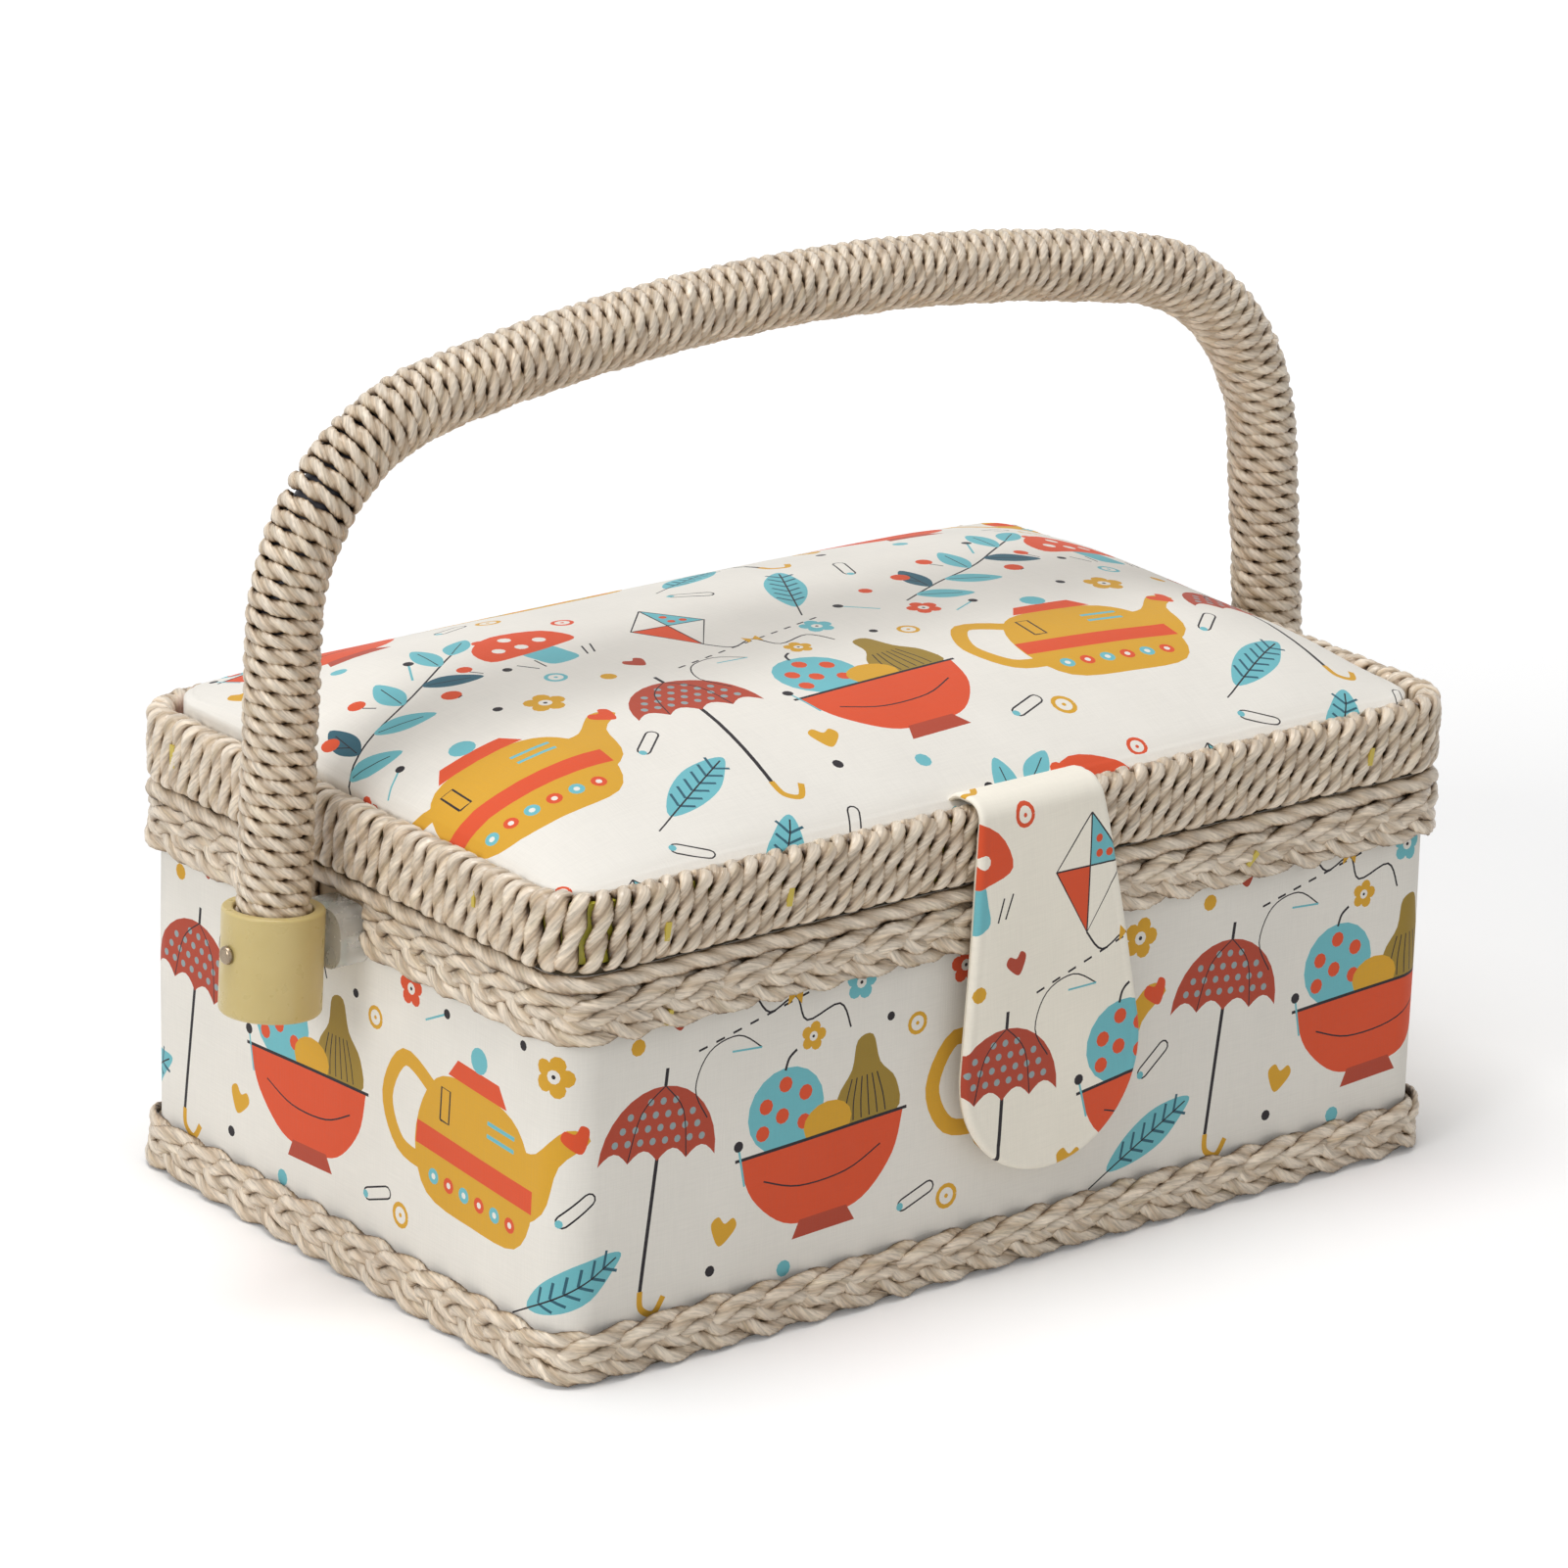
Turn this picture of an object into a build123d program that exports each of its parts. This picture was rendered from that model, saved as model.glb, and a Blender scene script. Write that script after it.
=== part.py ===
"""Rectangular sewing box with one padded lid, a closing tab and a swinging cord-wrapped handle.

Millimetres, +Z up. The origin is the middle of the underside, X runs left to right,
the closing tab is on the -Y side and the lid's hinges are on the +Y side.
"""
import os
from math import asin, atan, cos, degrees, radians, sin, sqrt, tan

from build123d import *

# ---------------------------------------------------------------- driving dimensions
# Box body
BOX_WIDTH = 230.6            # over the side boards
BOX_DEPTH = 147.4            # over the front and back boards
BOX_CORNER_R = 8.0           # outer corner of the boards
WALL_T = 5.0
BASE_T = 4.0
SOLE_T = 0.8                 # card glued under the base
WALL_TOP_Z = 86.2            # top edge of the four wall boards
COVER_T = 0.7                # printed cotton glued round the walls
LINING_T = 0.8               # plain cotton on the inside of the walls
FLOOR_PAD_T = 3.0            # padded floor of the box
FLOOR_PAD_FIT = 0.3

# Plaited trims round the body
BRAID_T = 2.4
BRAID_H = 11.4
LOWER_BRAID_Z = 0.3          # lower edge of the bottom braid
EDGE_CORD_H = 2.6            # single cord along the top edge of the walls
EDGE_CORD_DROP = 0.1         # how far its top lies under the top edge of the walls
BRAID_NOTCH_FIT = 0.4        # gap between a cut braid end and the pivot block

# Lid
LID_GAP = 0.4                # between the wall tops and the rim
RIM_OVER_SIDE = 1.6          # wrapped rim stands out this far past the trims, left and right
RIM_OVER_FRONT = 1.0         # and front and back
RIM_CORNER_R = 14.0
RIM_H = 17.2
RIM_EDGE_R = 1.8             # rounding of the wrapped rim's edges
HOOP_T = 1.6                 # flat plastic hoop inside the wrapping
RIM_CORD_T = 2.4             # one layer of wrapping cord
LID_BOARD_T = 3.0
LID_LINING_T = 0.8
LID_LINING_RISE = 0.4        # the lining lies this much above the rim's lower edge
LID_FIT = 0.2                # between the rim's inside and what sits in it
PAD_RISE = 12.8              # highest point of the padded lid above the rim
PAD_CROWN_SIDE = 3.6         # fall of the crown from the middle to the left and right edges
PAD_CROWN_FRONT = 3.4        # fall of the crown from the middle to the front and back edges
PAD_EDGE_R = 8.0
PAD_CORNER_R = 11.0          # corner of the pad seen from above

# Inside of the lid
CUSHION_LENGTH = 84.0
CUSHION_WIDTH = 34.0
CUSHION_T = 10.0
CUSHION_EDGE_GAP = 16.2      # from the front edge of the lid's lining
CUSHION_EDGE_R = 6.0
POCKET_LENGTH = 150.0
POCKET_HEIGHT = 44.0
POCKET_T = 1.6
POCKET_EDGE_GAP = 15.2       # from the back edge of the lid's lining
POCKET_CORNER_R = 5.0

# Back hinges
HINGE_INSET = 50.0           # middle of each hinge from the rim's left or right end
HINGE_LENGTH = 22.0
LEAF_T = 0.9
LEAF_H = 11.0
KNUCKLE_R = 1.9
KNUCKLES = 5
KNUCKLE_END_GAP = 0.15
KNUCKLE_RIM_GAP = 0.3        # between a knuckle and the rim's back face
WEB_H = 2.4                  # neck between a knuckle and its leaf
HINGE_PIN_R = 0.9
HINGE_SCREW_X = 6.5          # screws each side of the hinge's middle
HINGE_SCREW_R = 0.9
HINGE_SCREW_HEAD_R = 1.7
HINGE_SCREW_HEAD_H = 0.8
HINGE_SCREW_RISE = 5.6       # screw line from the edge of the leaf nearest the pin
LID_SCREW_LENGTH = 5.6
BOX_SCREW_LENGTH = 7.2

# Closing tab
TAB_TOP_HALF_W = 16.0
TAB_BULB_R = 23.7
TAB_BULB_DROP = 58.5         # middle of the round end below the fold
TAB_FACE_T = 0.9             # one layer of cotton
TAB_STIFFENER_T = 1.2
TAB_SEAM = 2.0               # turned edge round the stiffener
TAB_X = -1.0                 # the tab is sewn in a little left of the middle
TAB_LEAN_DEG = 5.0           # and hangs a little askew
TAB_OVERLENGTH = 3.0         # outline drawn past the fold before it is cut off there
TAB_RIM_GAP = 0.5            # between the rim and the back of the tab
TAB_FOLD_RISE = 0.9          # fold line above the rim's top edge
TAB_ANCHOR_GAP = 0.3         # between the sewn-in strip and the rim's top
MAGNET_R = 7.0               # magnetic button let through the back of the tab
MAGNET_DROP = 62.0           # its middle below the fold
CATCH_R = 7.5                # steel plate that it closes on
CATCH_T = 1.2
CATCH_GAP = 0.4              # between the button and the plate
CATCH_PIN_R = 1.5
CATCH_PIN_LENGTH = 4.5

# Handle and its pivots
PIVOT_DROP = 11.2            # pivot axis under the top edge of the walls
LEG_SPLAY_DEG = 3.8          # each leg leans outward going down
HANDLE_REACH = 116.0         # from the pivot axis to the middle of the bar, halfway along
HANDLE_CROWN_R = 476.0
HANDLE_SHOULDER_R = 46.0
HANDLE_LEAN_DEG = 2.4        # the handle stands leaning back a little
HANDLE_D = 15.7              # over the wrapping
CORE_D = 10.6
SOCKET_D = 21.0
SOCKET_WALL = 2.4
SOCKET_BELOW = 14.0          # socket below and above the pivot, along the leg
SOCKET_ABOVE = 8.0
SOCKET_FLOOR_T = 2.0
SOCKET_EDGE_R = 1.2
LEG_END_GAP = 0.5            # between a leg's end and its socket's floor
RIVET_R = 1.1
RIVET_HEAD_R = 1.9
RIVET_HEAD_H = 1.1
RIVET_RUN_FIT = 0.05         # between a rivet and the socket and leg that turn on it
RIVET_HEAD_GAP = 0.3
BLOCK_T = 7.1                # clear plastic block between the wall and a socket
BLOCK_WIDTH = 16.0
BLOCK_HEIGHT = 12.6
BLOCK_CORNER_R = 4.5
BLOCK_SOCKET_GAP = 0.6
WASHER_R = 5.0
WASHER_T = 1.0

# Tray that lifts out
TRAY_FIT = 1.2               # front and back, between the tray and the lining
TRAY_END_FIT = 0.5           # between the tray's ends and the rivets' tails
TRAY_H = 26.0
TRAY_WALL = 1.6
TRAY_FLOOR_T = 1.6
TRAY_CORNER_R = 5.0
TRAY_TOP_GAP = 4.6           # from the tray's top edge to the top edge of the walls
TRAY_DIVIDER_OFFSET = 8.0    # lengthwise divider in front of the middle
TRAY_BACK_CELLS = 3
TRAY_FRONT_CELLS = 1
LEDGE_W = 6.0
LEDGE_H = 8.0
LEDGE_END_GAP = 12.9         # from a ledge's end to the front or back lining

FINE_FIT = 0.05              # screws and rivets in the pieces that they hold


# ---------------------------------------------------------------- shape helpers
def slab(width, depth, corner_r, z_low, z_high):
    """Upright block with rounded corners, centred on the origin's axis."""
    outline = RectangleRounded(width, depth, corner_r)
    return Pos(0, 0, z_low) * extrude(outline, amount=z_high - z_low)


def band(width, depth, corner_r, thickness, z_low, z_high):
    """Closed band with its outside at width by depth and the wall inside it."""
    inner_r = max(corner_r - thickness, 0.5)
    outer = slab(width, depth, corner_r, z_low, z_high)
    inner = slab(width - 2 * thickness, depth - 2 * thickness, inner_r, z_low - 1, z_high + 1)
    return outer - inner


def cuboid(x_low, x_high, y_low, y_high, z_low, z_high):
    centre = Pos((x_low + x_high) / 2, (y_low + y_high) / 2, (z_low + z_high) / 2)
    return centre * Box(x_high - x_low, y_high - y_low, z_high - z_low)


def rod_x(radius, x_low, x_high, y, z):
    centre = Pos((x_low + x_high) / 2, y, z)
    return centre * Rot(0, 90, 0) * Cylinder(radius, abs(x_high - x_low))


def rod_y(radius, x, y_low, y_high, z):
    centre = Pos(x, (y_low + y_high) / 2, z)
    return centre * Rot(90, 0, 0) * Cylinder(radius, abs(y_high - y_low))


def mirrored(shape):
    return mirror(shape, about=Plane.YZ)


def save(name, *solids):
    shape = solids[0] if len(solids) == 1 else Compound(children=list(solids))
    export_step(shape, f"parts/{name}.step")


os.makedirs("parts", exist_ok=True)

# ---------------------------------------------------------------- levels and faces
BASE_Z = SOLE_T
WALL_FOOT_Z = BASE_Z + BASE_T
COVER_WIDTH = BOX_WIDTH + 2 * COVER_T
COVER_DEPTH = BOX_DEPTH + 2 * COVER_T
COVER_CORNER_R = BOX_CORNER_R + COVER_T
TRIM_WIDTH = COVER_WIDTH + 2 * BRAID_T
TRIM_DEPTH = COVER_DEPTH + 2 * BRAID_T
TRIM_CORNER_R = COVER_CORNER_R + BRAID_T
ROOM_WIDTH = BOX_WIDTH - 2 * WALL_T - 2 * LINING_T
ROOM_DEPTH = BOX_DEPTH - 2 * WALL_T - 2 * LINING_T
INNER_CORNER_R = BOX_CORNER_R - WALL_T
RIM_WIDTH = TRIM_WIDTH + 2 * RIM_OVER_SIDE
RIM_DEPTH = TRIM_DEPTH + 2 * RIM_OVER_FRONT
EDGE_CORD_TOP_Z = WALL_TOP_Z - EDGE_CORD_DROP
UPPER_BRAID_TOP_Z = EDGE_CORD_TOP_Z - EDGE_CORD_H
RIM_Z = WALL_TOP_Z + LID_GAP
RIM_TOP_Z = RIM_Z + RIM_H
PAD_TOP_Z = RIM_TOP_Z + PAD_RISE
RIM_T = HOOP_T + 2 * RIM_CORD_T
LID_LINING_Z = RIM_Z + LID_LINING_RISE
LID_BOARD_Z = LID_LINING_Z + LID_LINING_T
PAD_Z = LID_BOARD_Z + LID_BOARD_T
LID_ROOM_WIDTH = RIM_WIDTH - 2 * RIM_T - 2 * LID_FIT
LID_ROOM_DEPTH = RIM_DEPTH - 2 * RIM_T - 2 * LID_FIT
LID_ROOM_CORNER_R = RIM_CORNER_R - RIM_T - LID_FIT
TAB_FOLD_Z = RIM_TOP_Z + TAB_FOLD_RISE
HINGE_X = RIM_WIDTH / 2 - HINGE_INSET
HINGE_Y = RIM_DEPTH / 2 + KNUCKLE_RIM_GAP + KNUCKLE_R
HINGE_Z = WALL_TOP_Z + LID_GAP / 2
PIVOT_Z = WALL_TOP_Z - PIVOT_DROP
PIVOT_X = COVER_WIDTH / 2 + BLOCK_T + BLOCK_SOCKET_GAP + SOCKET_D / 2
HANDLE_TOP_Z = PIVOT_Z + HANDLE_REACH
RIVET_TAIL_X = ROOM_WIDTH / 2 - WASHER_T
RIVET_HEAD_X = PIVOT_X + SOCKET_D / 2 + RIVET_HEAD_GAP


def rivet_bore(fit):
    """Straight bore on the pivot axis through everything on the right-hand side."""
    return rod_x(RIVET_R + fit, RIVET_TAIL_X - 5, RIVET_HEAD_X + 5, 0, PIVOT_Z)


def hinge_screw_places(z):
    return [(side * HINGE_X + end * HINGE_SCREW_X, z) for side in (-1, 1) for end in (-1, 1)]


LID_SCREW_Z = HINGE_Z + WEB_H + HINGE_SCREW_RISE
BOX_SCREW_Z = HINGE_Z - WEB_H - HINGE_SCREW_RISE


def hinge_screw_bores(z, y_low, y_high):
    return [rod_y(HINGE_SCREW_R + FINE_FIT, x, y_low, y_high, height)
            for x, height in hinge_screw_places(z)]


# ---------------------------------------------------------------- box body
def box_walls():
    """Four boards cut from one rounded band, each with the holes of what is fixed to it."""
    ring = band(BOX_WIDTH, BOX_DEPTH, BOX_CORNER_R, WALL_T, WALL_FOOT_Z, WALL_TOP_Z)
    half_w, half_d = BOX_WIDTH / 2, BOX_DEPTH / 2
    inner_y = half_d - WALL_T
    front = ring & cuboid(-half_w, half_w, -half_d, -inner_y, WALL_FOOT_Z, WALL_TOP_Z)
    back = ring & cuboid(-half_w, half_w, inner_y, half_d, WALL_FOOT_Z, WALL_TOP_Z)
    right = ring & cuboid(0, half_w, -inner_y, inner_y, WALL_FOOT_Z, WALL_TOP_Z)
    right -= rivet_bore(FINE_FIT)
    for bore in hinge_screw_bores(BOX_SCREW_Z, inner_y - 1, half_d + 1):
        back -= bore
    front -= catch_pin(FINE_FIT)
    return front, back, mirrored(right), right


def tab_frame():
    """Location of the tab's fold: local X across the tab, local Z up the hanging tab."""
    fold_y = -(RIM_DEPTH / 2 + TAB_RIM_GAP)
    return Pos(TAB_X, fold_y, TAB_FOLD_Z) * Rot(0, -TAB_LEAN_DEG, 0)


def magnet_centre():
    return (tab_frame() * Pos(0, 0, -MAGNET_DROP)).position


def catch_pin(fit):
    """Pin of the catch plate, through the cotton and into the front board."""
    centre = magnet_centre()
    face_y = -COVER_DEPTH / 2
    return rod_y(CATCH_PIN_R + fit, centre.X, face_y, face_y + CATCH_PIN_LENGTH, centre.Z)


def catch_plate():
    """Round steel plate on the front that the tab's magnet closes on."""
    centre = magnet_centre()
    face_y = -COVER_DEPTH / 2
    plate = rod_y(CATCH_R, centre.X, face_y - CATCH_T, face_y, centre.Z)
    return plate + catch_pin(0)


def box_cover():
    skin = band(COVER_WIDTH, COVER_DEPTH, COVER_CORNER_R, COVER_T, SOLE_T, WALL_TOP_Z)
    bore = rivet_bore(FINE_FIT)
    skin -= bore
    skin -= mirrored(bore)
    for bore in hinge_screw_bores(BOX_SCREW_Z, BOX_DEPTH / 2 - 1, COVER_DEPTH / 2 + 1):
        skin -= bore
    return skin - catch_pin(FINE_FIT)


def wall_lining():
    width, depth = BOX_WIDTH - 2 * WALL_T, BOX_DEPTH - 2 * WALL_T
    skin = band(width, depth, INNER_CORNER_R, LINING_T, WALL_FOOT_Z, WALL_TOP_Z)
    bore = rivet_bore(FINE_FIT)
    skin -= bore
    skin -= mirrored(bore)
    return skin


def trim_band(z_low, z_high):
    return band(TRIM_WIDTH, TRIM_DEPTH, TRIM_CORNER_R, BRAID_T, z_low, z_high)


def upper_braid():
    """Front and back runs of the top braid, cut off at both pivot blocks."""
    z_low = UPPER_BRAID_TOP_Z - BRAID_H
    ring = trim_band(z_low, UPPER_BRAID_TOP_Z)
    notch_half = BLOCK_WIDTH / 2 + BRAID_NOTCH_FIT
    ring -= cuboid(-TRIM_WIDTH, TRIM_WIDTH, -notch_half, notch_half, z_low - 1, UPPER_BRAID_TOP_Z + 1)
    for bore in hinge_screw_bores(BOX_SCREW_Z, BOX_DEPTH / 2, TRIM_DEPTH / 2 + 1):
        ring -= bore
    return ring.solids()


def pivot_block():
    """Clear block on the right-hand wall that spaces the socket off it."""
    outline = RectangleRounded(BLOCK_HEIGHT, BLOCK_WIDTH, BLOCK_CORNER_R)
    wall_x = COVER_WIDTH / 2
    block = extrude(outline, amount=BLOCK_T)
    block = Pos(wall_x, 0, PIVOT_Z) * Rot(0, 90, 0) * block
    return block - rivet_bore(FINE_FIT)


def pivot_washer():
    washer = rod_x(WASHER_R, RIVET_TAIL_X, ROOM_WIDTH / 2, 0, PIVOT_Z)
    return washer - rivet_bore(FINE_FIT)


front_wall, back_wall, left_wall, right_wall = box_walls()
save("front_wall", front_wall)
save("back_wall", back_wall)
save("left_wall", left_wall)
save("right_wall", right_wall)
save("base_board", slab(BOX_WIDTH, BOX_DEPTH, BOX_CORNER_R, BASE_Z, WALL_FOOT_Z))
save("base_sole", slab(COVER_WIDTH, COVER_DEPTH, COVER_CORNER_R, 0, SOLE_T))
save("box_cover", box_cover())
save("wall_lining", wall_lining())
save("floor_pad", slab(ROOM_WIDTH - 2 * FLOOR_PAD_FIT, ROOM_DEPTH - 2 * FLOOR_PAD_FIT,
                       INNER_CORNER_R - LINING_T, WALL_FOOT_Z, WALL_FOOT_Z + FLOOR_PAD_T))
save("lower_braid", trim_band(LOWER_BRAID_Z, LOWER_BRAID_Z + BRAID_H))
save("upper_braid", *upper_braid())
save("edge_cord", trim_band(UPPER_BRAID_TOP_Z, EDGE_CORD_TOP_Z))
save("pivot_block_left", mirrored(pivot_block()))
save("pivot_block_right", pivot_block())
save("pivot_washers", mirrored(pivot_washer()), pivot_washer())
save("catch_plate", catch_plate())


# ---------------------------------------------------------------- tray
TRAY_TOP_Z = WALL_TOP_Z - TRAY_TOP_GAP
TRAY_Z = TRAY_TOP_Z - TRAY_H
TRAY_WIDTH = ROOM_WIDTH - 2 * (WASHER_T + RIVET_HEAD_H + TRAY_END_FIT)
TRAY_DEPTH = ROOM_DEPTH - 2 * TRAY_FIT


def tray():
    """Open tray with one lengthwise divider and cross dividers on each side of it."""
    body = slab(TRAY_WIDTH, TRAY_DEPTH, TRAY_CORNER_R, TRAY_Z, TRAY_TOP_Z)
    inner_x = TRAY_WIDTH / 2 - TRAY_WALL
    inner_y = TRAY_DEPTH / 2 - TRAY_WALL
    floor_z = TRAY_Z + TRAY_FLOOR_T
    half_wall = TRAY_WALL / 2
    rows = ((-inner_y, -TRAY_DIVIDER_OFFSET - half_wall, TRAY_FRONT_CELLS),
            (-TRAY_DIVIDER_OFFSET + half_wall, inner_y, TRAY_BACK_CELLS))
    for y_low, y_high, cells in rows:
        pitch = (2 * inner_x + TRAY_WALL) / cells
        for index in range(cells):
            x_low = -inner_x + index * pitch
            x_high = x_low + pitch - TRAY_WALL
            cell = cuboid(x_low, x_high, y_low, y_high, floor_z, TRAY_TOP_Z + 1)
            body -= fillet(cell.edges().filter_by(Axis.Z), TRAY_CORNER_R - TRAY_WALL)
    return body


def tray_ledge():
    """Wooden strip on the right-hand end wall that carries the tray."""
    outer_x = ROOM_WIDTH / 2
    half = ROOM_DEPTH / 2 - LEDGE_END_GAP
    return cuboid(outer_x - LEDGE_W, outer_x, -half, half, TRAY_Z - LEDGE_H, TRAY_Z)


save("tray_ledge_left", mirrored(tray_ledge()))
save("tray_ledge_right", tray_ledge())
save("tray", tray())


# ---------------------------------------------------------------- lid
def rim_wrap():
    """Cord wrapping round the hoop: a rounded band with the hoop's space left out."""
    wrap = band(RIM_WIDTH, RIM_DEPTH, RIM_CORNER_R, RIM_T, RIM_Z, RIM_TOP_Z)
    wrap = fillet(wrap.faces().filter_by(Axis.Z).edges(), RIM_EDGE_R)
    wrap -= rim_hoop_space()
    for bore in hinge_screw_bores(LID_SCREW_Z, RIM_DEPTH / 2 - RIM_T - 1, RIM_DEPTH / 2 + 1):
        wrap -= bore
    return wrap


def rim_hoop_space():
    width = RIM_WIDTH - 2 * RIM_CORD_T
    depth = RIM_DEPTH - 2 * RIM_CORD_T
    corner_r = RIM_CORNER_R - RIM_CORD_T
    return band(width, depth, corner_r, HOOP_T, RIM_Z + RIM_CORD_T, RIM_TOP_Z - RIM_CORD_T)


def rim_hoop():
    hoop = rim_hoop_space()
    for bore in hinge_screw_bores(LID_SCREW_Z, RIM_DEPTH / 2 - RIM_T - 1, RIM_DEPTH / 2 + 1):
        hoop -= bore
    return hoop


def crowned_top(top_z):
    """Everything under a gently crowned surface whose highest point is at top_z."""
    half_w, half_d = LID_ROOM_WIDTH / 2, LID_ROOM_DEPTH / 2
    side_r = (half_w ** 2 + PAD_CROWN_SIDE ** 2) / (2 * PAD_CROWN_SIDE)
    front_r = (half_d ** 2 + PAD_CROWN_FRONT ** 2) / (2 * PAD_CROWN_FRONT)
    reach = RIM_DEPTH / 2
    fall = front_r - sqrt(front_r ** 2 - reach ** 2)
    axis_z = top_z - side_r
    profile = make_face([
        ThreePointArc((0, -reach, top_z - fall), (0, 0, top_z), (0, reach, top_z - fall)),
        Line((0, reach, top_z - fall), (0, reach, axis_z + 1)),
        Line((0, reach, axis_z + 1), (0, -reach, axis_z + 1)),
        Line((0, -reach, axis_z + 1), (0, -reach, top_z - fall)),
    ])
    swing = degrees(asin(RIM_WIDTH / 2 / side_r)) + 1
    axis = Axis((0, 0, axis_z), (0, 1, 0))
    return revolve(profile.rotate(axis, -swing), axis, 2 * swing)


def pad_form(inset):
    """Padded dome of the lid, drawn in by inset on its sides and its top."""
    width, depth = LID_ROOM_WIDTH - 2 * inset, LID_ROOM_DEPTH - 2 * inset
    block = slab(width, depth, PAD_CORNER_R - inset, PAD_Z, PAD_TOP_Z + 1)
    dome = block & crowned_top(PAD_TOP_Z - inset)
    top_edges = dome.faces().sort_by(Axis.Z)[-1].edges()
    return fillet(top_edges, PAD_EDGE_R - inset)


def cushion():
    """Pincushion on the lid's lining: a low block with a rounded lower face."""
    middle_y = CUSHION_EDGE_GAP + CUSHION_WIDTH / 2 - LID_ROOM_DEPTH / 2
    block = Pos(0, middle_y, LID_LINING_Z - CUSHION_T) * extrude(
        RectangleRounded(CUSHION_LENGTH, CUSHION_WIDTH, CUSHION_EDGE_R), amount=CUSHION_T)
    lower = block.faces().sort_by(Axis.Z)[0].edges()
    return fillet(lower, CUSHION_EDGE_R - 1)


def pocket():
    outline = RectangleRounded(POCKET_LENGTH, POCKET_HEIGHT, POCKET_CORNER_R)
    middle_y = LID_ROOM_DEPTH / 2 - POCKET_EDGE_GAP - POCKET_HEIGHT / 2
    return Pos(0, middle_y, LID_LINING_Z - POCKET_T) * extrude(outline, amount=POCKET_T)


save("rim_wrap", rim_wrap())
save("rim_hoop", rim_hoop())
save("lid_board", slab(LID_ROOM_WIDTH, LID_ROOM_DEPTH, LID_ROOM_CORNER_R, LID_BOARD_Z, PAD_Z))
save("lid_lining", slab(LID_ROOM_WIDTH, LID_ROOM_DEPTH, LID_ROOM_CORNER_R, LID_LINING_Z, LID_BOARD_Z))
save("lid_foam", pad_form(COVER_T))
save("lid_cover", pad_form(0) - pad_form(COVER_T))
save("pincushion", cushion())
save("lid_pocket", pocket())


# ---------------------------------------------------------------- hinges
def hinge_half(sign, leaf_face_y):
    """One leaf with its knuckles; sign is 1 for the lid's leaf and -1 for the box's."""
    half = HINGE_LENGTH / 2
    near, far = HINGE_Z + sign * WEB_H, HINGE_Z + sign * (WEB_H + LEAF_H)
    shape = cuboid(-half, half, leaf_face_y, leaf_face_y + LEAF_T, min(near, far), max(near, far))
    pitch = HINGE_LENGTH / KNUCKLES
    first = 1 if sign > 0 else 0
    for index in range(first, KNUCKLES, 2):
        x_low = -half + index * pitch + KNUCKLE_END_GAP / 2
        x_high = x_low + pitch - KNUCKLE_END_GAP
        shape += rod_x(KNUCKLE_R, x_low, x_high, HINGE_Y, HINGE_Z)
        shape += cuboid(x_low, x_high, leaf_face_y, HINGE_Y, min(HINGE_Z, near), max(HINGE_Z, near))
    shape -= rod_x(HINGE_PIN_R + FINE_FIT, -half - 1, half + 1, HINGE_Y, HINGE_Z)
    screw_z = LID_SCREW_Z if sign > 0 else BOX_SCREW_Z
    for end in (-1, 1):
        x = end * HINGE_SCREW_X
        shape -= rod_y(HINGE_SCREW_R + FINE_FIT, x, leaf_face_y - 1, leaf_face_y + 2, screw_z)
    return [Pos(side * HINGE_X, 0, 0) * shape for side in (-1, 1)]


def hinge_screws(leaf_face_y, z, length):
    """Round-headed screws that hold one pair of leaves."""
    screws = []
    head_y = leaf_face_y + LEAF_T
    for x, height in hinge_screw_places(z):
        shank = rod_y(HINGE_SCREW_R, x, head_y - length, head_y, height)
        head = rod_y(HINGE_SCREW_HEAD_R, x, head_y, head_y + HINGE_SCREW_HEAD_H, height)
        rim = head.edges().sort_by(Axis.Y)[-1]
        screws.append(shank + fillet(rim, HINGE_SCREW_HEAD_H * 0.7))
    return screws


LID_LEAF_Y = RIM_DEPTH / 2
BOX_LEAF_Y = TRIM_DEPTH / 2
half_hinge = HINGE_LENGTH / 2
hinge_pins = [rod_x(HINGE_PIN_R, side * HINGE_X - half_hinge, side * HINGE_X + half_hinge,
                    HINGE_Y, HINGE_Z) for side in (-1, 1)]
save("hinge_leaves_lid", *hinge_half(1, LID_LEAF_Y))
save("hinge_leaves_box", *hinge_half(-1, BOX_LEAF_Y))
save("hinge_pins", *hinge_pins)
save("hinge_screws_lid", *hinge_screws(LID_LEAF_Y, LID_SCREW_Z, LID_SCREW_LENGTH + LEAF_T))
save("hinge_screws_box", *hinge_screws(BOX_LEAF_Y, BOX_SCREW_Z, BOX_SCREW_LENGTH + LEAF_T))


# ---------------------------------------------------------------- closing tab
def tab_outline(inset):
    """Flat outline: straight sides that run into a round end, drawn in by inset."""
    radius = TAB_BULB_R - inset
    half_w = TAB_TOP_HALF_W - inset
    reach = sqrt(half_w ** 2 + TAB_BULB_DROP ** 2)
    # slope of the side that runs from the top corner to touch the round end
    slope = asin(radius / reach) - atan(half_w / TAB_BULB_DROP)
    touch_x = radius * cos(slope)
    touch_z = -TAB_BULB_DROP + radius * sin(slope)
    top_x = half_w - TAB_OVERLENGTH * tan(slope)
    sides = [
        Line((-top_x, TAB_OVERLENGTH), (top_x, TAB_OVERLENGTH)),
        Line((top_x, TAB_OVERLENGTH), (touch_x, touch_z)),
        ThreePointArc((touch_x, touch_z), (0, -TAB_BULB_DROP - radius), (-touch_x, touch_z)),
        Line((-touch_x, touch_z), (-top_x, TAB_OVERLENGTH)),
    ]
    return make_face(sides)


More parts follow.
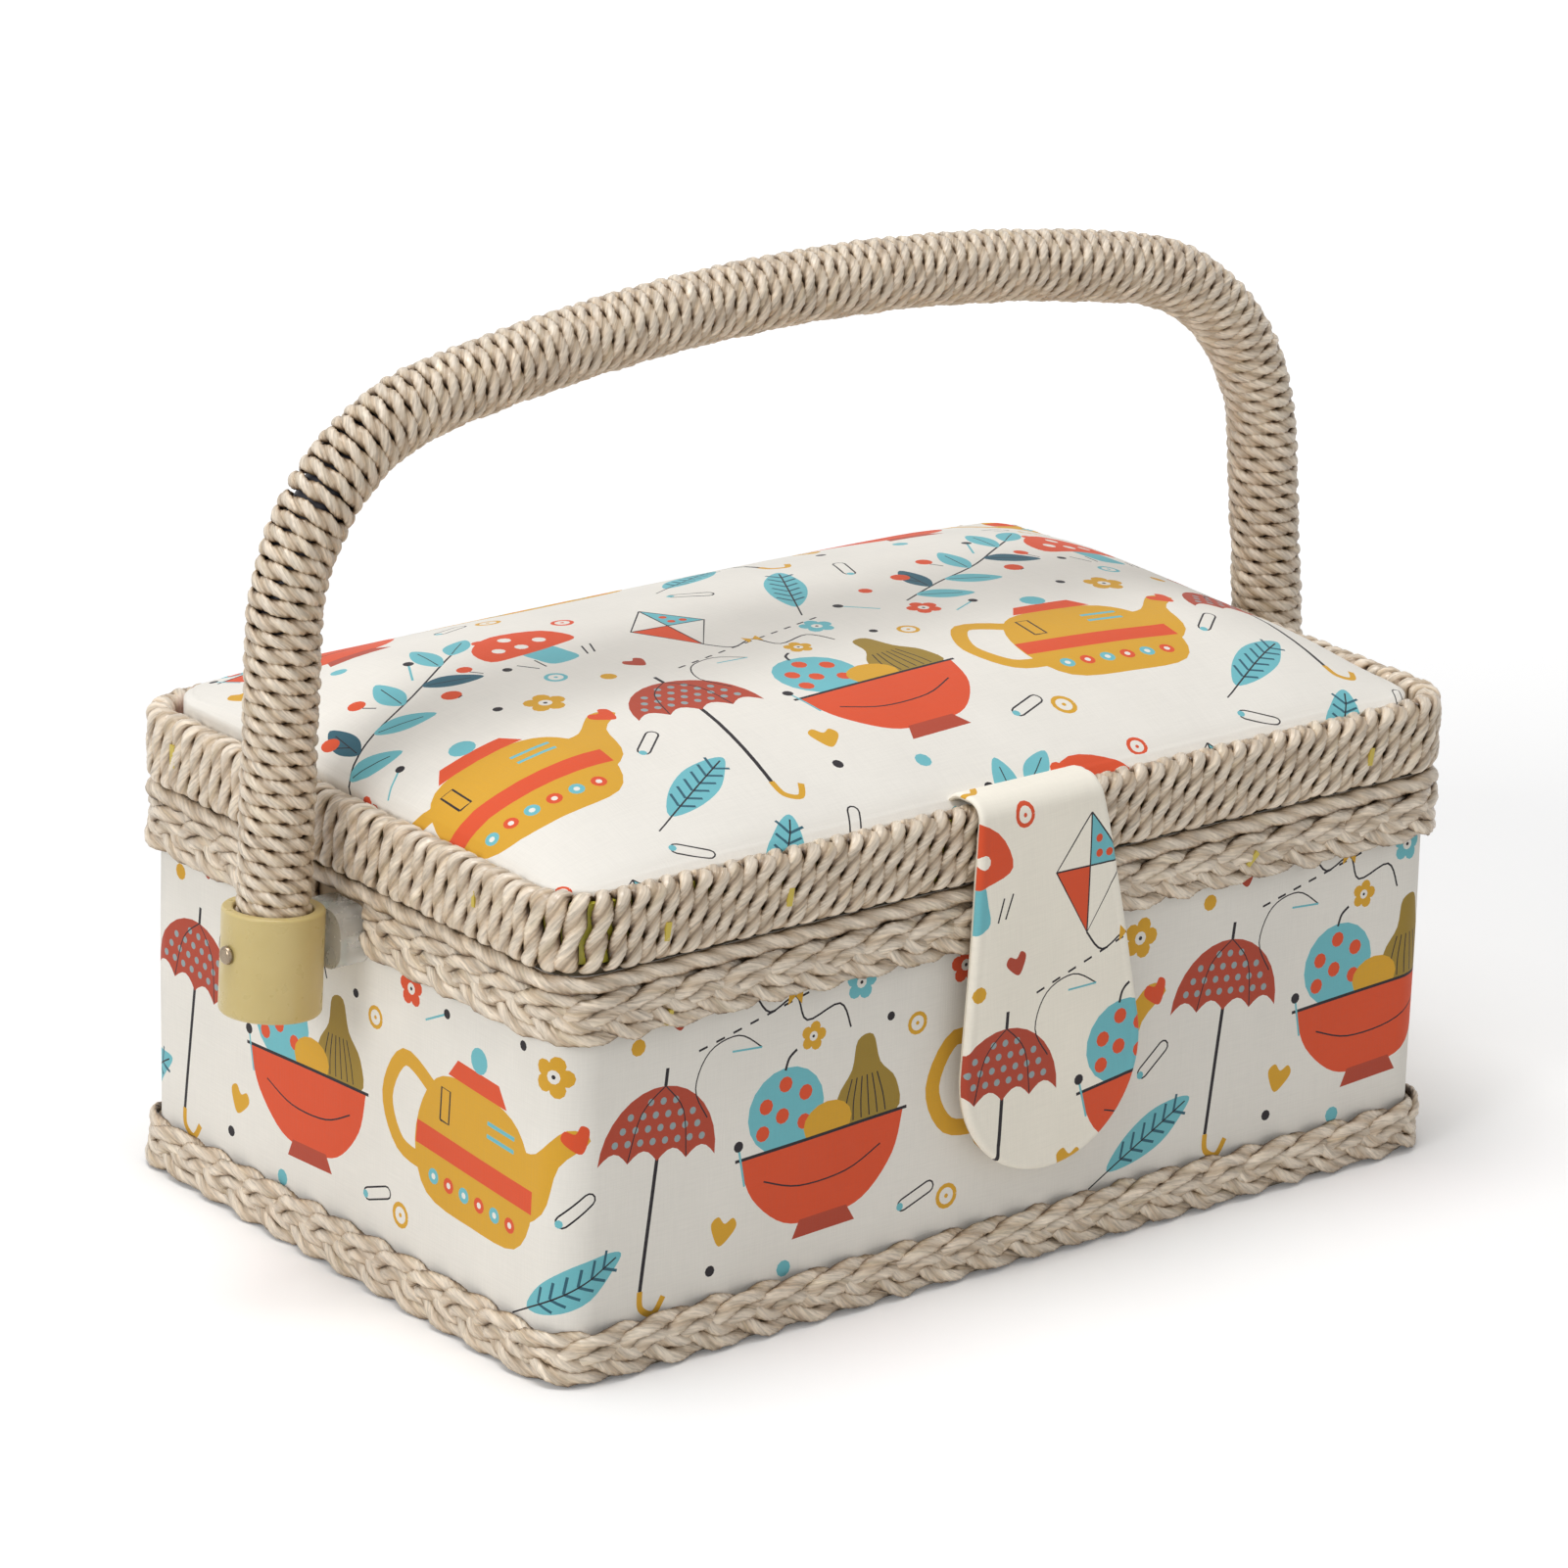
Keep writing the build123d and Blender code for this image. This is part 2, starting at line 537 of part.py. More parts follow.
def tab_layer(inset, depth_low, depth_high):
    """Layer of the tab between two depths in front of its back face."""
    sheet = extrude(tab_outline(inset), amount=depth_high - depth_low)
    return Pos(0, -depth_low, 0) * Rot(90, 0, 0) * sheet


def magnet_button(fit):
    """Round button that stands out of the tab's back far enough to close on the catch."""
    stand_off = (RIM_DEPTH - COVER_DEPTH) / 2 + TAB_RIM_GAP - CATCH_T - CATCH_GAP
    return rod_y(MAGNET_R + fit, 0, stand_off, -TAB_FRONT_DEPTH, -MAGNET_DROP)


def hung(shape):
    """Put a piece of the tab in its place and cut it off at the fold."""
    placed = tab_frame() * shape
    reach = TAB_BULB_DROP + TAB_BULB_R
    room = cuboid(-reach, reach, -RIM_DEPTH, 0, TAB_FOLD_Z - 2 * reach, TAB_FOLD_Z)
    return placed & room


TAB_FRONT_DEPTH = TAB_FACE_T + TAB_STIFFENER_T
TAB_DEPTH = TAB_FRONT_DEPTH + TAB_FACE_T
turned_edge = tab_layer(0, TAB_FACE_T, TAB_FRONT_DEPTH) - tab_layer(TAB_SEAM, 0, TAB_DEPTH)
save("tab_front", hung(tab_layer(0, TAB_FRONT_DEPTH, TAB_DEPTH) + turned_edge))
save("tab_back", hung(tab_layer(0, 0, TAB_FACE_T) - magnet_button(FINE_FIT)))
save("tab_stiffener", hung(tab_layer(TAB_SEAM, TAB_FACE_T, TAB_FRONT_DEPTH) - magnet_button(FINE_FIT)))
save("tab_magnet", hung(magnet_button(0)))


def tab_anchor():
    """Flat strip of the tab that lies on the rim's top and is sewn in under the lid's cover."""
    low = RIM_TOP_Z + TAB_ANCHOR_GAP
    outer_y = -(RIM_DEPTH / 2)
    inner_y = -(LID_ROOM_DEPTH / 2 + LID_FIT)
    return cuboid(TAB_X - TAB_TOP_HALF_W, TAB_X + TAB_TOP_HALF_W, outer_y, inner_y,
                  low, low + 2 * TAB_FACE_T)


save("tab_anchor", tab_anchor())


# ---------------------------------------------------------------- handle
def handle_path(below):
    """Centre line in the XZ plane: two splayed legs, two shoulders and a crowned bar."""
    splay = radians(LEG_SPLAY_DEG)
    up = Vector(-sin(splay), 0, cos(splay))
    inward = Vector(-cos(splay), 0, -sin(splay))
    pivot = Vector(PIVOT_X, 0, PIVOT_Z)
    crown_centre = Vector(0, 0, HANDLE_TOP_Z - HANDLE_CROWN_R)
    # the shoulder's centre is inward of the leg and one radius inside the crown
    start = pivot + inward * HANDLE_SHOULDER_R - crown_centre
    reach = HANDLE_CROWN_R - HANDLE_SHOULDER_R
    along = start.dot(up)
    rise = -along + sqrt(along ** 2 - start.dot(start) + reach ** 2)
    leg_end = pivot + up * rise
    shoulder_centre = leg_end + inward * HANDLE_SHOULDER_R
    outward = (shoulder_centre - crown_centre).normalized()
    crown_end = shoulder_centre + outward * HANDLE_SHOULDER_R
    shoulder_mid = shoulder_centre + (outward - inward).normalized() * HANDLE_SHOULDER_R
    foot = pivot - up * below
    top = Vector(0, 0, HANDLE_TOP_Z)

    def other(point):
        return Vector(-point.X, 0, point.Z)

    return Wire([
        Line(other(foot), other(leg_end)),
        ThreePointArc(other(leg_end), other(shoulder_mid), other(crown_end)),
        ThreePointArc(other(crown_end), top, crown_end),
        ThreePointArc(crown_end, shoulder_mid, leg_end),
        Line(leg_end, foot),
    ])


def handle_rod(radius):
    path = handle_path(SOCKET_BELOW - SOCKET_FLOOR_T - LEG_END_GAP)
    section = Plane(origin=path @ 0, z_dir=path % 0) * Circle(radius)
    return sweep(section, path=path)


def leant(shape):
    """Lean the upright handle back about its pivots."""
    return shape.rotate(Axis((0, 0, PIVOT_Z), (1, 0, 0)), -HANDLE_LEAN_DEG)


def without_rivets(shape):
    bore = rivet_bore(RIVET_RUN_FIT)
    return shape - bore - mirrored(bore)


def socket():
    """Plastic cup on the right-hand leg's end, closed below."""
    height = SOCKET_BELOW + SOCKET_ABOVE
    outer = Pos(0, 0, height / 2 - SOCKET_BELOW) * Cylinder(SOCKET_D / 2, height)
    ends = outer.edges().filter_by(GeomType.CIRCLE).sort_by(Axis.Z)
    outer = fillet(ends[0], SOCKET_EDGE_R)
    bore_h = height - SOCKET_FLOOR_T
    bore_mid = SOCKET_ABOVE - bore_h / 2
    cup = outer - Pos(0, 0, bore_mid) * Cylinder(SOCKET_D / 2 - SOCKET_WALL, bore_h)
    lip = cup.faces().sort_by(Axis.Z)[-1].edges()
    cup = fillet(lip, SOCKET_EDGE_R / 2)
    cup = Pos(PIVOT_X, 0, PIVOT_Z) * Rot(0, -LEG_SPLAY_DEG, 0) * cup
    return cup - rivet_bore(RIVET_RUN_FIT)


def rivet():
    """Right-hand rivet: a straight pin with a domed head outside and a flat one inside."""
    pin = rod_x(RIVET_R, RIVET_TAIL_X, RIVET_HEAD_X, 0, PIVOT_Z)
    head = rod_x(RIVET_HEAD_R, RIVET_HEAD_X, RIVET_HEAD_X + RIVET_HEAD_H, 0, PIVOT_Z)
    head = fillet(head.edges().sort_by(Axis.X)[-1], RIVET_HEAD_H * 0.8)
    tail = rod_x(RIVET_HEAD_R, RIVET_TAIL_X - RIVET_HEAD_H, RIVET_TAIL_X, 0, PIVOT_Z)
    return pin + head + tail


core = handle_rod(CORE_D / 2)
wrapping = handle_rod(HANDLE_D / 2) - core
save("handle_core", leant(without_rivets(core)))
save("handle_wrap", leant(without_rivets(wrapping)))
save("socket_left", leant(mirrored(socket())))
save("socket_right", leant(socket()))
save("rivet_left", mirrored(rivet()))
save("rivet_right", rivet())
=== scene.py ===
import itertools
import math
import random

import bpy
import numpy as np
from mathutils import Matrix, Vector, geometry


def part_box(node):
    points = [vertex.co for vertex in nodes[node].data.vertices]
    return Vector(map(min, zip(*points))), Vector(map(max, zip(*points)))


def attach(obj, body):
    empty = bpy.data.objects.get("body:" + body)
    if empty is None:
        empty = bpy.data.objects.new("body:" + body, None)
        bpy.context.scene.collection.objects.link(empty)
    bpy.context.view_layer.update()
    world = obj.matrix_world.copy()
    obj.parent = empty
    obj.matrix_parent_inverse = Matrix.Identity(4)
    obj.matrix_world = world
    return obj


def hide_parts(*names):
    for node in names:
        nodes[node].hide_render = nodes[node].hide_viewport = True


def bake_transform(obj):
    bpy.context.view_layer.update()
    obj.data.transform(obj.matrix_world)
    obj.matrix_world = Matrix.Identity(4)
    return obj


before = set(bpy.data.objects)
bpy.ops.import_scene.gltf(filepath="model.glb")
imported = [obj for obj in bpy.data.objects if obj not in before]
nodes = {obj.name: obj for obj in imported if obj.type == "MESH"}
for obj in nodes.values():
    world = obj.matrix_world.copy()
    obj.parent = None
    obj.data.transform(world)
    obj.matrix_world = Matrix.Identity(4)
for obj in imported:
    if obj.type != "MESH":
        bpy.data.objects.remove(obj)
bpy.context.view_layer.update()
scene = bpy.context.scene
tau = math.tau

# Lengths are in millimetres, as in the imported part, and become metres when a mesh is made.
MM = 0.001


def box_mm(node):
    low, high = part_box(node)
    return np.array(low) / MM, np.array(high) / MM


def half_and_middle(low, high):
    return (high[:2] - low[:2]) / 2, (high[:2] + low[:2]) / 2


def add_object(name, data):
    obj = bpy.data.objects.new(name, data)
    scene.collection.objects.link(obj)
    return obj


# ---- camera
CAMERA_AT = (-878.8, -1093.6, 566.6)
CAMERA_FORWARD = (0.5906, 0.7383, -0.3257)
CAMERA_UP = (0.1809, 0.2722, 0.9451)
CAMERA_LENS = 161.07
CAMERA_SENSOR = 36


def place_camera():
    forward = Vector(CAMERA_FORWARD).normalized()
    right = forward.cross(Vector(CAMERA_UP)).normalized()
    turn = Matrix((right, right.cross(forward), -forward)).transposed().to_4x4()
    camera = add_object("camera", bpy.data.cameras.new("camera"))
    camera.matrix_world = Matrix.Translation(Vector(CAMERA_AT) * MM) @ turn
    camera.data.lens, camera.data.sensor_width = CAMERA_LENS, CAMERA_SENSOR
    camera.data.clip_end = 50
    scene.camera = camera


place_camera()


# ---- materials
def srgb(red, green, blue):
    """Linear colour of an 8-bit one."""
    def linear(value):
        value /= 255
        return value / 12.92 if value <= 0.04045 else ((value + 0.055) / 1.055) ** 2.4
    return (linear(red), linear(green), linear(blue), 1.0)


class Graph:
    """A node tree, with short calls that add nodes and return their outputs."""

    def __init__(self, owner):
        owner.use_nodes = True
        self.tree = owner.node_tree

    def set(self, node, values):
        for key, value in values.items():
            socket = node.inputs[key.replace("_", " ") if isinstance(key, str) else key]
            if isinstance(value, bpy.types.NodeSocket):
                self.tree.links.new(value, socket)
            else:
                socket.default_value = value

    def add(self, kind, inputs, output=0, **settings):
        node = self.tree.nodes.new("ShaderNode" + kind)
        for key, value in settings.items():
            setattr(node, key, value)
        self.set(node, inputs)
        return node.outputs[output]

    def maths(self, operation, first, second):
        return self.add("Math", {0: first, 1: second}, operation=operation)

    def seen(self):
        """One for what the camera sees, also in a reflection or through a clear part."""
        path = self.tree.nodes.new("ShaderNodeLightPath").outputs
        straight = self.maths("MAXIMUM", path["Is Camera Ray"], path["Is Glossy Ray"])
        return self.maths("MAXIMUM", straight, path["Is Transmission Ray"])


class Surface(Graph):
    """A material with one Principled shader."""

    def __init__(self, name, **constants):
        self.material = bpy.data.materials.new(name)
        super().__init__(self.material)
        self.shader = self.tree.nodes["Principled BSDF"]
        self.set(self.shader, constants)

    def attribute(self, name, output="Vector"):
        return self.add("Attribute", {}, output, attribute_name=name)

    def scaled(self, at, scale):
        return self.add("VectorMath", {0: at, 1: scale}, operation="MULTIPLY")

    def place(self):
        """Coordinates in millimetres."""
        return self.scaled(self.add("TexCoord", {}, "Object"), (1 / MM,) * 3)

    def noise(self, at, scale, stretch=(1, 1, 1), detail=2.0):
        vector = self.scaled(at, [scale * s for s in stretch])
        return self.add("TexNoise", {"Vector": vector, "Scale": 1.0, "Detail": detail})

    def ramp(self, value, *stops):
        """Colour ramp from (position, colour) stops."""
        node = self.tree.nodes.new("ShaderNodeValToRGB")
        while len(node.color_ramp.elements) < len(stops):
            node.color_ramp.elements.new(0.5)
        for element, (position, colour) in zip(node.color_ramp.elements, stops):
            element.position, element.color = position, colour
        self.set(node, {0: value})
        return node.outputs[0]

    def remap(self, value, low, high, start=0.3, end=0.7):
        return self.add("MapRange", {"Value": value, "From_Min": start, "From_Max": end,
                                     "To_Min": low, "To_Max": high})

    def blend(self, factor, first, second, how="MIX"):
        return self.add("Mix", {0: factor, 6: first, 7: second}, 2,
                        data_type="RGBA", blend_type=how)

    def shade(self, colour, value):
        """Colour made lighter or darker by a value round one."""
        colour = colour[:3] if isinstance(colour, tuple) else colour
        return self.add("VectorMath", {0: colour, "Scale": value}, operation="SCALE")

    def bump(self, height, distance, strength, **after):
        """Normal of a relief of a depth in millimetres, on top of another Normal if one is given."""
        return self.add("Bump", {"Height": height, "Distance": distance * MM,
                                 "Strength": strength, **after})

    def finish(self, **links):
        self.set(self.shader, links)
        return self.material


def cord_surface():
    """Two-ply satin cord: fine fibres along each ply, with painted shade where the plies meet and on
    its sides away from the light.
    """
    s = Surface("satin_cord", IOR=1.6)
    along = s.attribute("cord")
    streak = s.noise(along, 1.0, (0.3, 3.1, 3.1), 3.0)
    patch = s.noise(s.place(), 0.11, detail=3.0)
    tone = s.noise(along, 1.0, (0.17, 1.1, 1.1), 2.0)
    fleck = s.noise(along, 1.0, (0.09, 0.9, 0.9), 1.0)
    depth = s.attribute("painted_shade", "Fac")
    # painted shade and light: dark brown in the cord's shaded grooves and sides, near white where it
    # faces out
    colour = s.ramp(depth, (0.0, srgb(58, 40, 30)), (0.22, srgb(146, 120, 92)),
                    (0.52, srgb(216, 194, 166)), (1.0, srgb(252, 238, 218)))
    colour = s.shade(colour, s.remap(streak, 0.66, 1.18))
    colour = s.shade(colour, s.remap(tone, 0.82, 1.1))
    colour = s.blend(s.remap(patch, 0.0, 0.25), colour, srgb(196, 176, 158), "MULTIPLY")
    colour = s.blend(s.remap(fleck, 0.0, 0.12, 0.55, 0.8), colour, srgb(226, 205, 128))
    return s.finish(Base_Color=colour, Roughness=s.remap(streak, 0.44, 0.2),
                    Normal=s.bump(streak, 0.3, 0.9))


THREAD_DEPTH, CREASE_DEPTH = 0.07, 0.9


def cotton_surface(name, colour=None, sheen=0.12):
    """Cotton cloth: slubbed threads both ways; printed where no colour is given."""
    s = Surface(name, Sheen_Weight=sheen, Sheen_Roughness=0.5, IOR=1.4)
    flat = s.attribute("flat")
    warp = s.noise(flat, 1.0, (3.2, 0.13, 1), 2.0)
    weft = s.noise(flat, 1.0, (0.13, 3.2, 1), 2.0)
    threads = s.maths("ADD", warp, weft)
    soft = s.noise(flat, 0.035, detail=2.0)
    base = s.attribute("print", "Color") if colour is None else colour
    base = s.shade(base, s.remap(threads, 0.968, 1.02, 0.7, 1.3))
    base = s.shade(base, s.remap(soft, 0.97, 1.02))
    creases = s.bump(soft, CREASE_DEPTH, 0.5)
    return s.finish(Base_Color=base, Roughness=s.remap(threads, 0.72, 0.92, 0.7, 1.3),
                    Normal=s.bump(threads, THREAD_DEPTH, 0.5, Normal=creases))


def moulded_surface(name, colour, dark, roughness, **constants):
    """Moulded plastic: faint clouding, a fine skin and scuffs in its gloss."""
    s = Surface(name, **constants)
    at = s.place()
    cloud = s.noise(at, 0.09, detail=3.0)
    skin = s.noise(at, 2.2, detail=2.0)
    scuff = s.noise(at, 0.3, detail=4.0)
    return s.finish(Base_Color=s.blend(s.remap(cloud, 0.0, 0.5), colour, dark),
                    Roughness=s.remap(scuff, roughness - 0.06, roughness + 0.14),
                    Normal=s.bump(skin, 0.03, 0.5))


def metal_surface(name, colour, dark, roughness):
    s = Surface(name, Metallic=1.0)
    at = s.place()
    brushed = s.noise(at, 1.0, (0.6, 6, 6), 3.0)
    tarnish = s.noise(at, 0.35, detail=4.0)
    return s.finish(Base_Color=s.blend(s.remap(tarnish, 0.0, 0.7, 0.45, 0.75), colour, dark),
                    Roughness=s.remap(brushed, roughness - 0.08, roughness + 0.12),
                    Normal=s.bump(brushed, 0.02, 0.4))


def fibre_surface(name, colour, dark, grain):
    """Wood or card: streaks drawn out along one axis."""
    s = Surface(name)
    at = s.place()
    streak = s.noise(at, 1.0, grain, 4.0)
    speck = s.noise(at, 1.6, detail=2.0)
    colour = s.blend(s.remap(streak, 0.0, 1.0), colour, dark)
    return s.finish(Base_Color=s.shade(colour, s.remap(speck, 0.93, 1.05)),
                    Roughness=s.remap(streak, 0.55, 0.8), Normal=s.bump(streak, 0.06, 0.6))


CLOTH = srgb(241, 237, 229)
M_CORD = cord_surface()
M_PRINT = cotton_surface("printed_cotton")
M_PLAIN = cotton_surface("lining_cotton", srgb(232, 224, 208))
M_CUSHION = cotton_surface("cushion_cotton", srgb(112, 188, 198), 0.3)
M_SOCKET = moulded_surface("socket_plastic", srgb(208, 188, 128), srgb(196, 174, 110), 0.3,
                           Subsurface_Weight=0.12, Subsurface_Radius=(0.004, 0.003, 0.0015))
M_CLEAR = moulded_surface("clear_plastic", srgb(244, 242, 236), srgb(228, 220, 204), 0.2,
                          Transmission_Weight=0.5, IOR=1.47)
M_HOOP = moulded_surface("hoop_plastic", srgb(206, 196, 66), srgb(184, 172, 54), 0.4)
M_STRIP = moulded_surface("strip_plastic", srgb(212, 190, 78), srgb(190, 166, 58), 0.35)
M_CORE = moulded_surface("core_plastic", srgb(46, 44, 56), srgb(34, 32, 40), 0.4)
M_TRAY = moulded_surface("tray_plastic", srgb(226, 222, 210), srgb(212, 206, 190), 0.28)
M_PLATED = metal_surface("plated_steel", srgb(200, 198, 192), srgb(178, 174, 166), 0.26)
M_STEEL = metal_surface("steel", srgb(158, 142, 122), srgb(76, 62, 50), 0.28)
M_BRASS = metal_surface("brass", srgb(206, 170, 96), srgb(150, 112, 56), 0.3)
M_WOOD = fibre_surface("ledge_wood", srgb(202, 168, 120), srgb(170, 132, 86), (0.5, 0.06, 0.9))
M_BOARD = fibre_surface("board", srgb(196, 184, 160), srgb(172, 158, 132), (0.3, 0.3, 1.6))
M_CARD = fibre_surface("card", srgb(170, 160, 142), srgb(146, 134, 114), (0.4, 1.2, 0.4))

NODE_SURFACES = {
    M_BOARD: "front_wall back_wall left_wall right_wall base_board lid_board",
    M_CARD: "base_sole",
    M_CLEAR: "pivot_block_left pivot_block_right",
    M_STEEL: "rivet_left rivet_right",
    M_PLATED: "pivot_washers catch_plate tab_magnet",
    M_BRASS: "hinge_leaves_box hinge_leaves_lid hinge_pins hinge_screws_box hinge_screws_lid",
    M_TRAY: "tray",
    M_WOOD: "tray_ledge_left tray_ledge_right",
    M_HOOP: "rim_hoop",
    M_CORE: "handle_core",
    M_SOCKET: "socket_left socket_right",
}
for surface, names in NODE_SURFACES.items():
    for name in names.split():
        nodes[name].data.materials.clear()
        nodes[name].data.materials.append(surface)


# ---- mesh helpers
def unit(vectors):
    return vectors / np.linalg.norm(vectors, axis=-1, keepdims=True)


def running(steps):
    """Lengths along a line from its steps."""
    return np.concatenate([[0], np.cumsum(steps)])


def run_of(points):
    return np.linalg.norm(np.diff(points, axis=0), axis=1)


def interpolated(at, lengths, rows):
    return np.stack([np.interp(at, lengths, column) for column in rows.T], -1)


def piece(name, verts, faces, material, attributes=None, colours=None, normals=None):
    """Mesh object from points in millimetres, with point attributes and a colour for each face."""
    mesh = bpy.data.meshes.new(name)
    mesh.from_pydata((np.asarray(verts) * MM).tolist(), [], faces)
    mesh.materials.append(material)
    mesh.shade_smooth()
    for key, values in (attributes or {}).items():
        values = np.asarray(values, dtype=float)
        kind, field = ("FLOAT", "value") if values.ndim == 1 else ("FLOAT_VECTOR", "vector")
        mesh.attributes.new(key, kind, "POINT").data.foreach_set(field, values.ravel())
    if colours is not None:
        corners = np.repeat(np.asarray(colours), [len(f) for f in faces], axis=0)
        mesh.color_attributes.new("print", "FLOAT_COLOR", "CORNER").data.foreach_set(
            "color", corners.ravel())
    if normals is not None:
        mesh.normals_split_custom_set_from_vertices(np.asarray(normals).tolist())
    return add_object(name, mesh)


def fit(obj, body, slot, *replaced):
    if body:
        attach(obj, body)
    if replaced:
        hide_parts(*replaced)


QUARTERS = ((1, 1), (-1, 1), (-1, -1), (1, -1))


def round_corners(half, corner_r, first, step):
    """Points and outward directions round a rounded rectangle, from one of its QUARTERS."""
    for quarter in range(first, first + 4):
        sign_x, sign_y = QUARTERS[quarter % 4]
        for angle in np.radians(np.arange(quarter * 90, quarter * 90 + 90.1, step)):
            out_x, out_y = math.cos(angle), math.sin(angle)
            yield (sign_x * (half[0] - corner_r) + corner_r * out_x,
                   sign_y * (half[1] - corner_r) + corner_r * out_y, out_x, out_y)


def rounded_outline(half, corner_r):
    """Flat rounded rectangle, anticlockwise."""
    return np.array([row[:2] for row in round_corners(half, corner_r, 0, 6)])


def joined(line):
    """A line that ends where it starts."""
    return np.vstack([line, line[:1]])


class Loop:
    """Rounded rectangle seen from above, from the middle of the back and anticlockwise."""

    ROWS = 31      # points in each corner

    def __init__(self, width, depth, corner_r):
        half_w, half_d = width / 2, depth / 2
        start = (0, half_d, 0, 1)
        corners = round_corners((half_w, half_d), corner_r, 1, 90 / (self.ROWS - 1))
        self.rows = np.array([start, *corners, start], dtype=float)
        self.along = running(run_of(self.rows[:, :2]))
        self.length = self.along[-1]
        # the length at the middle of the left end
        self.left = half_w - corner_r + half_d - corner_r + corner_r * tau / 4

    def at(self, s):
        """Points and outward normals at the lengths s, both in three dimensions."""
        x, y, out_x, out_y = interpolated(np.mod(s, self.length), self.along, self.rows).T
        zero = np.zeros_like(x)
        return np.stack([x, y, zero], -1), unit(np.stack([out_x, out_y, zero], -1))

    def corner(self, number):
        """The lengths at a corner's points; number 0 is the back left one."""
        return self.along[1 + self.ROWS * number:][:self.ROWS]

    def corner_share(self, s, number):
        """One inside a corner, fading to none on the straights beside it."""
        lengths = self.corner(number)
        away = np.maximum(lengths[0] - s, s - lengths[-1])
        return 1 / (1 + np.exp(np.clip(away, -30, 30)))


RING = 16      # points round a cord
# painted shade: a cord's colour darkens from its lit side over a share of its radius, down to a share
# of its lit colour
DARKENS_OVER, DARKEST = 0.65, 0.05
UNEVEN = 0.1
UNEVEN_PERIODS = np.array([6.1, 10.3, 17.9, 4.3])
ring_angle = np.arange(RING) * tau / RING


class Cords:
    """Collects two-ply cords into one mesh."""

    def __init__(self):
        self.verts, self.faces, self.cord, self.painted_shade = [], [], [], []
        self.count = 0

    def add(self, points, outward, radius, lay, flat, wide, groove, open_to=0.0, closed=False,
            twisting=None, start=0.0):
        """One cord along points, pressed flat along outward, a crosswise direction at each of
        them. A turn of its twist takes the length lay. Groove is how far the plies' middles are
        from the cord's, as a share of its radius; open_to is how far round from outward the cord
        stays clear of its painted shade."""
        groove = np.broadcast_to(groove, len(points))[:, None]
        ring_shape = (groove * abs(np.cos(ring_angle))
                      + np.sqrt((1 - groove) ** 2 - (groove * np.sin(ring_angle)) ** 2))
        ends = joined(points) if closed else points
        steps = run_of(ends)
        along = running(steps)
        spin = along if twisting is None else running(steps * twisting[1:])
        if closed:
            lay = spin[-1] / round(spin[-1] / lay)
            along, spin = along[:-1], spin[:-1]
            tangent = unit(np.roll(points, -1, 0) - np.roll(points, 1, 0))
        else:
            tangent = unit(np.gradient(points, axis=0))
        side = unit(np.cross(tangent, outward))
        rise = np.cross(side, tangent)
        angle = ring_angle + (tau * spin / lay + start)[:, None]
        periods = along[-1] / np.round(along[-1] / UNEVEN_PERIODS)
        shift = wander(along, UNEVEN, self.count, *periods)
        points = points + side * shift[:, None] * 2
        radius = radius * (1 + wander(along, UNEVEN, self.count + 1, *periods))[:, None, None]
        section = (flat * np.cos(angle)[..., None] * rise[:, None]
                   + wide * np.sin(angle)[..., None] * side[:, None])
        self.verts.append(points[:, None] + section * radius * ring_shape[..., None])
        rows = len(points)
        own = self.count + np.arange(rows * RING).reshape(rows, RING)
        first = own if closed else own[:-1]
        after = np.roll(own, -1, 0)[:len(first)]
        quads = [first, after, np.roll(after, -1, 1), np.roll(first, -1, 1)]
        self.faces += np.stack(quads, -1).reshape(-1, 4).tolist()
        if not closed:
            self.faces += [own[0].tolist(), own[-1, ::-1].tolist()]
        self.cord.append(np.stack(np.broadcast_arrays(
            along[:, None], np.cos(ring_angle), np.sin(ring_angle)), -1))
        # painted shade: darker in the grooves between the plies, and on the cord's sides and inner
        # face, away from outward
        depth = 1 - 2 * groove * (1 - ring_shape) / (1 - ring_shape.min(axis=1, keepdims=True))
        facing = np.clip((np.cos(angle) + open_to) / DARKENS_OVER, 0, 1)
        self.painted_shade.append((depth * (DARKEST + (1 - DARKEST) * facing)).ravel())
        self.count += rows * RING

    def finish(self, name):
        verts, cord = (np.vstack([part.reshape(-1, 3) for part in parts])
                       for parts in (self.verts, self.cord))
        return piece(name, verts, self.faces, M_CORD,
                     {"cord": cord, "painted_shade": np.concatenate(self.painted_shade)})


def wander(s, amount, seed, *periods):
    """Smooth irregularity along a length: a few sines with seeded phases."""
    draw = random.Random(seed)
    return amount * sum(np.sin(tau * s / p + draw.uniform(0, tau)) for p in periods) / len(periods)


# ---- wound rim
rim_low, rim_high = box_mm("rim_wrap")
RIM_CORD_D = 2.9
RIM_CORD_R = 1.95
RIM_T = 6.4
RIM_CORNER_R = 14.0
RIM_BEND_R = 1.5
RIM_PITCH = 3.74
RIM_CORNER_PITCH = 3.0
RIM_LEAN = math.tan(math.radians(9))
FRONT_LEFT = 1
CORD_LAY = 11.7
RIM_PHASE = 0.27
RIM_JITTER = 0.12
# more room after a turn: choices in the loose front left corner, and how often and wide anywhere
LOOSE_GAPS = (0.2, 0.6, 1.5)
GAP_CHANCE, GAP_MORE = 0.05, 0.7
# how far past the front left corner the lean sets in, over what length it comes on, and the
# share of it that the first half of the back has
LEAN_FROM, LEAN_OVER, LEAN_ON_BACK = 6.0, 26.0, 0.8
UNTWIST_OVER = 8.0

rim_loop = Loop(rim_high[0] * 2 - RIM_T, rim_high[1] * 2 - RIM_T, RIM_CORNER_R - RIM_T / 2)


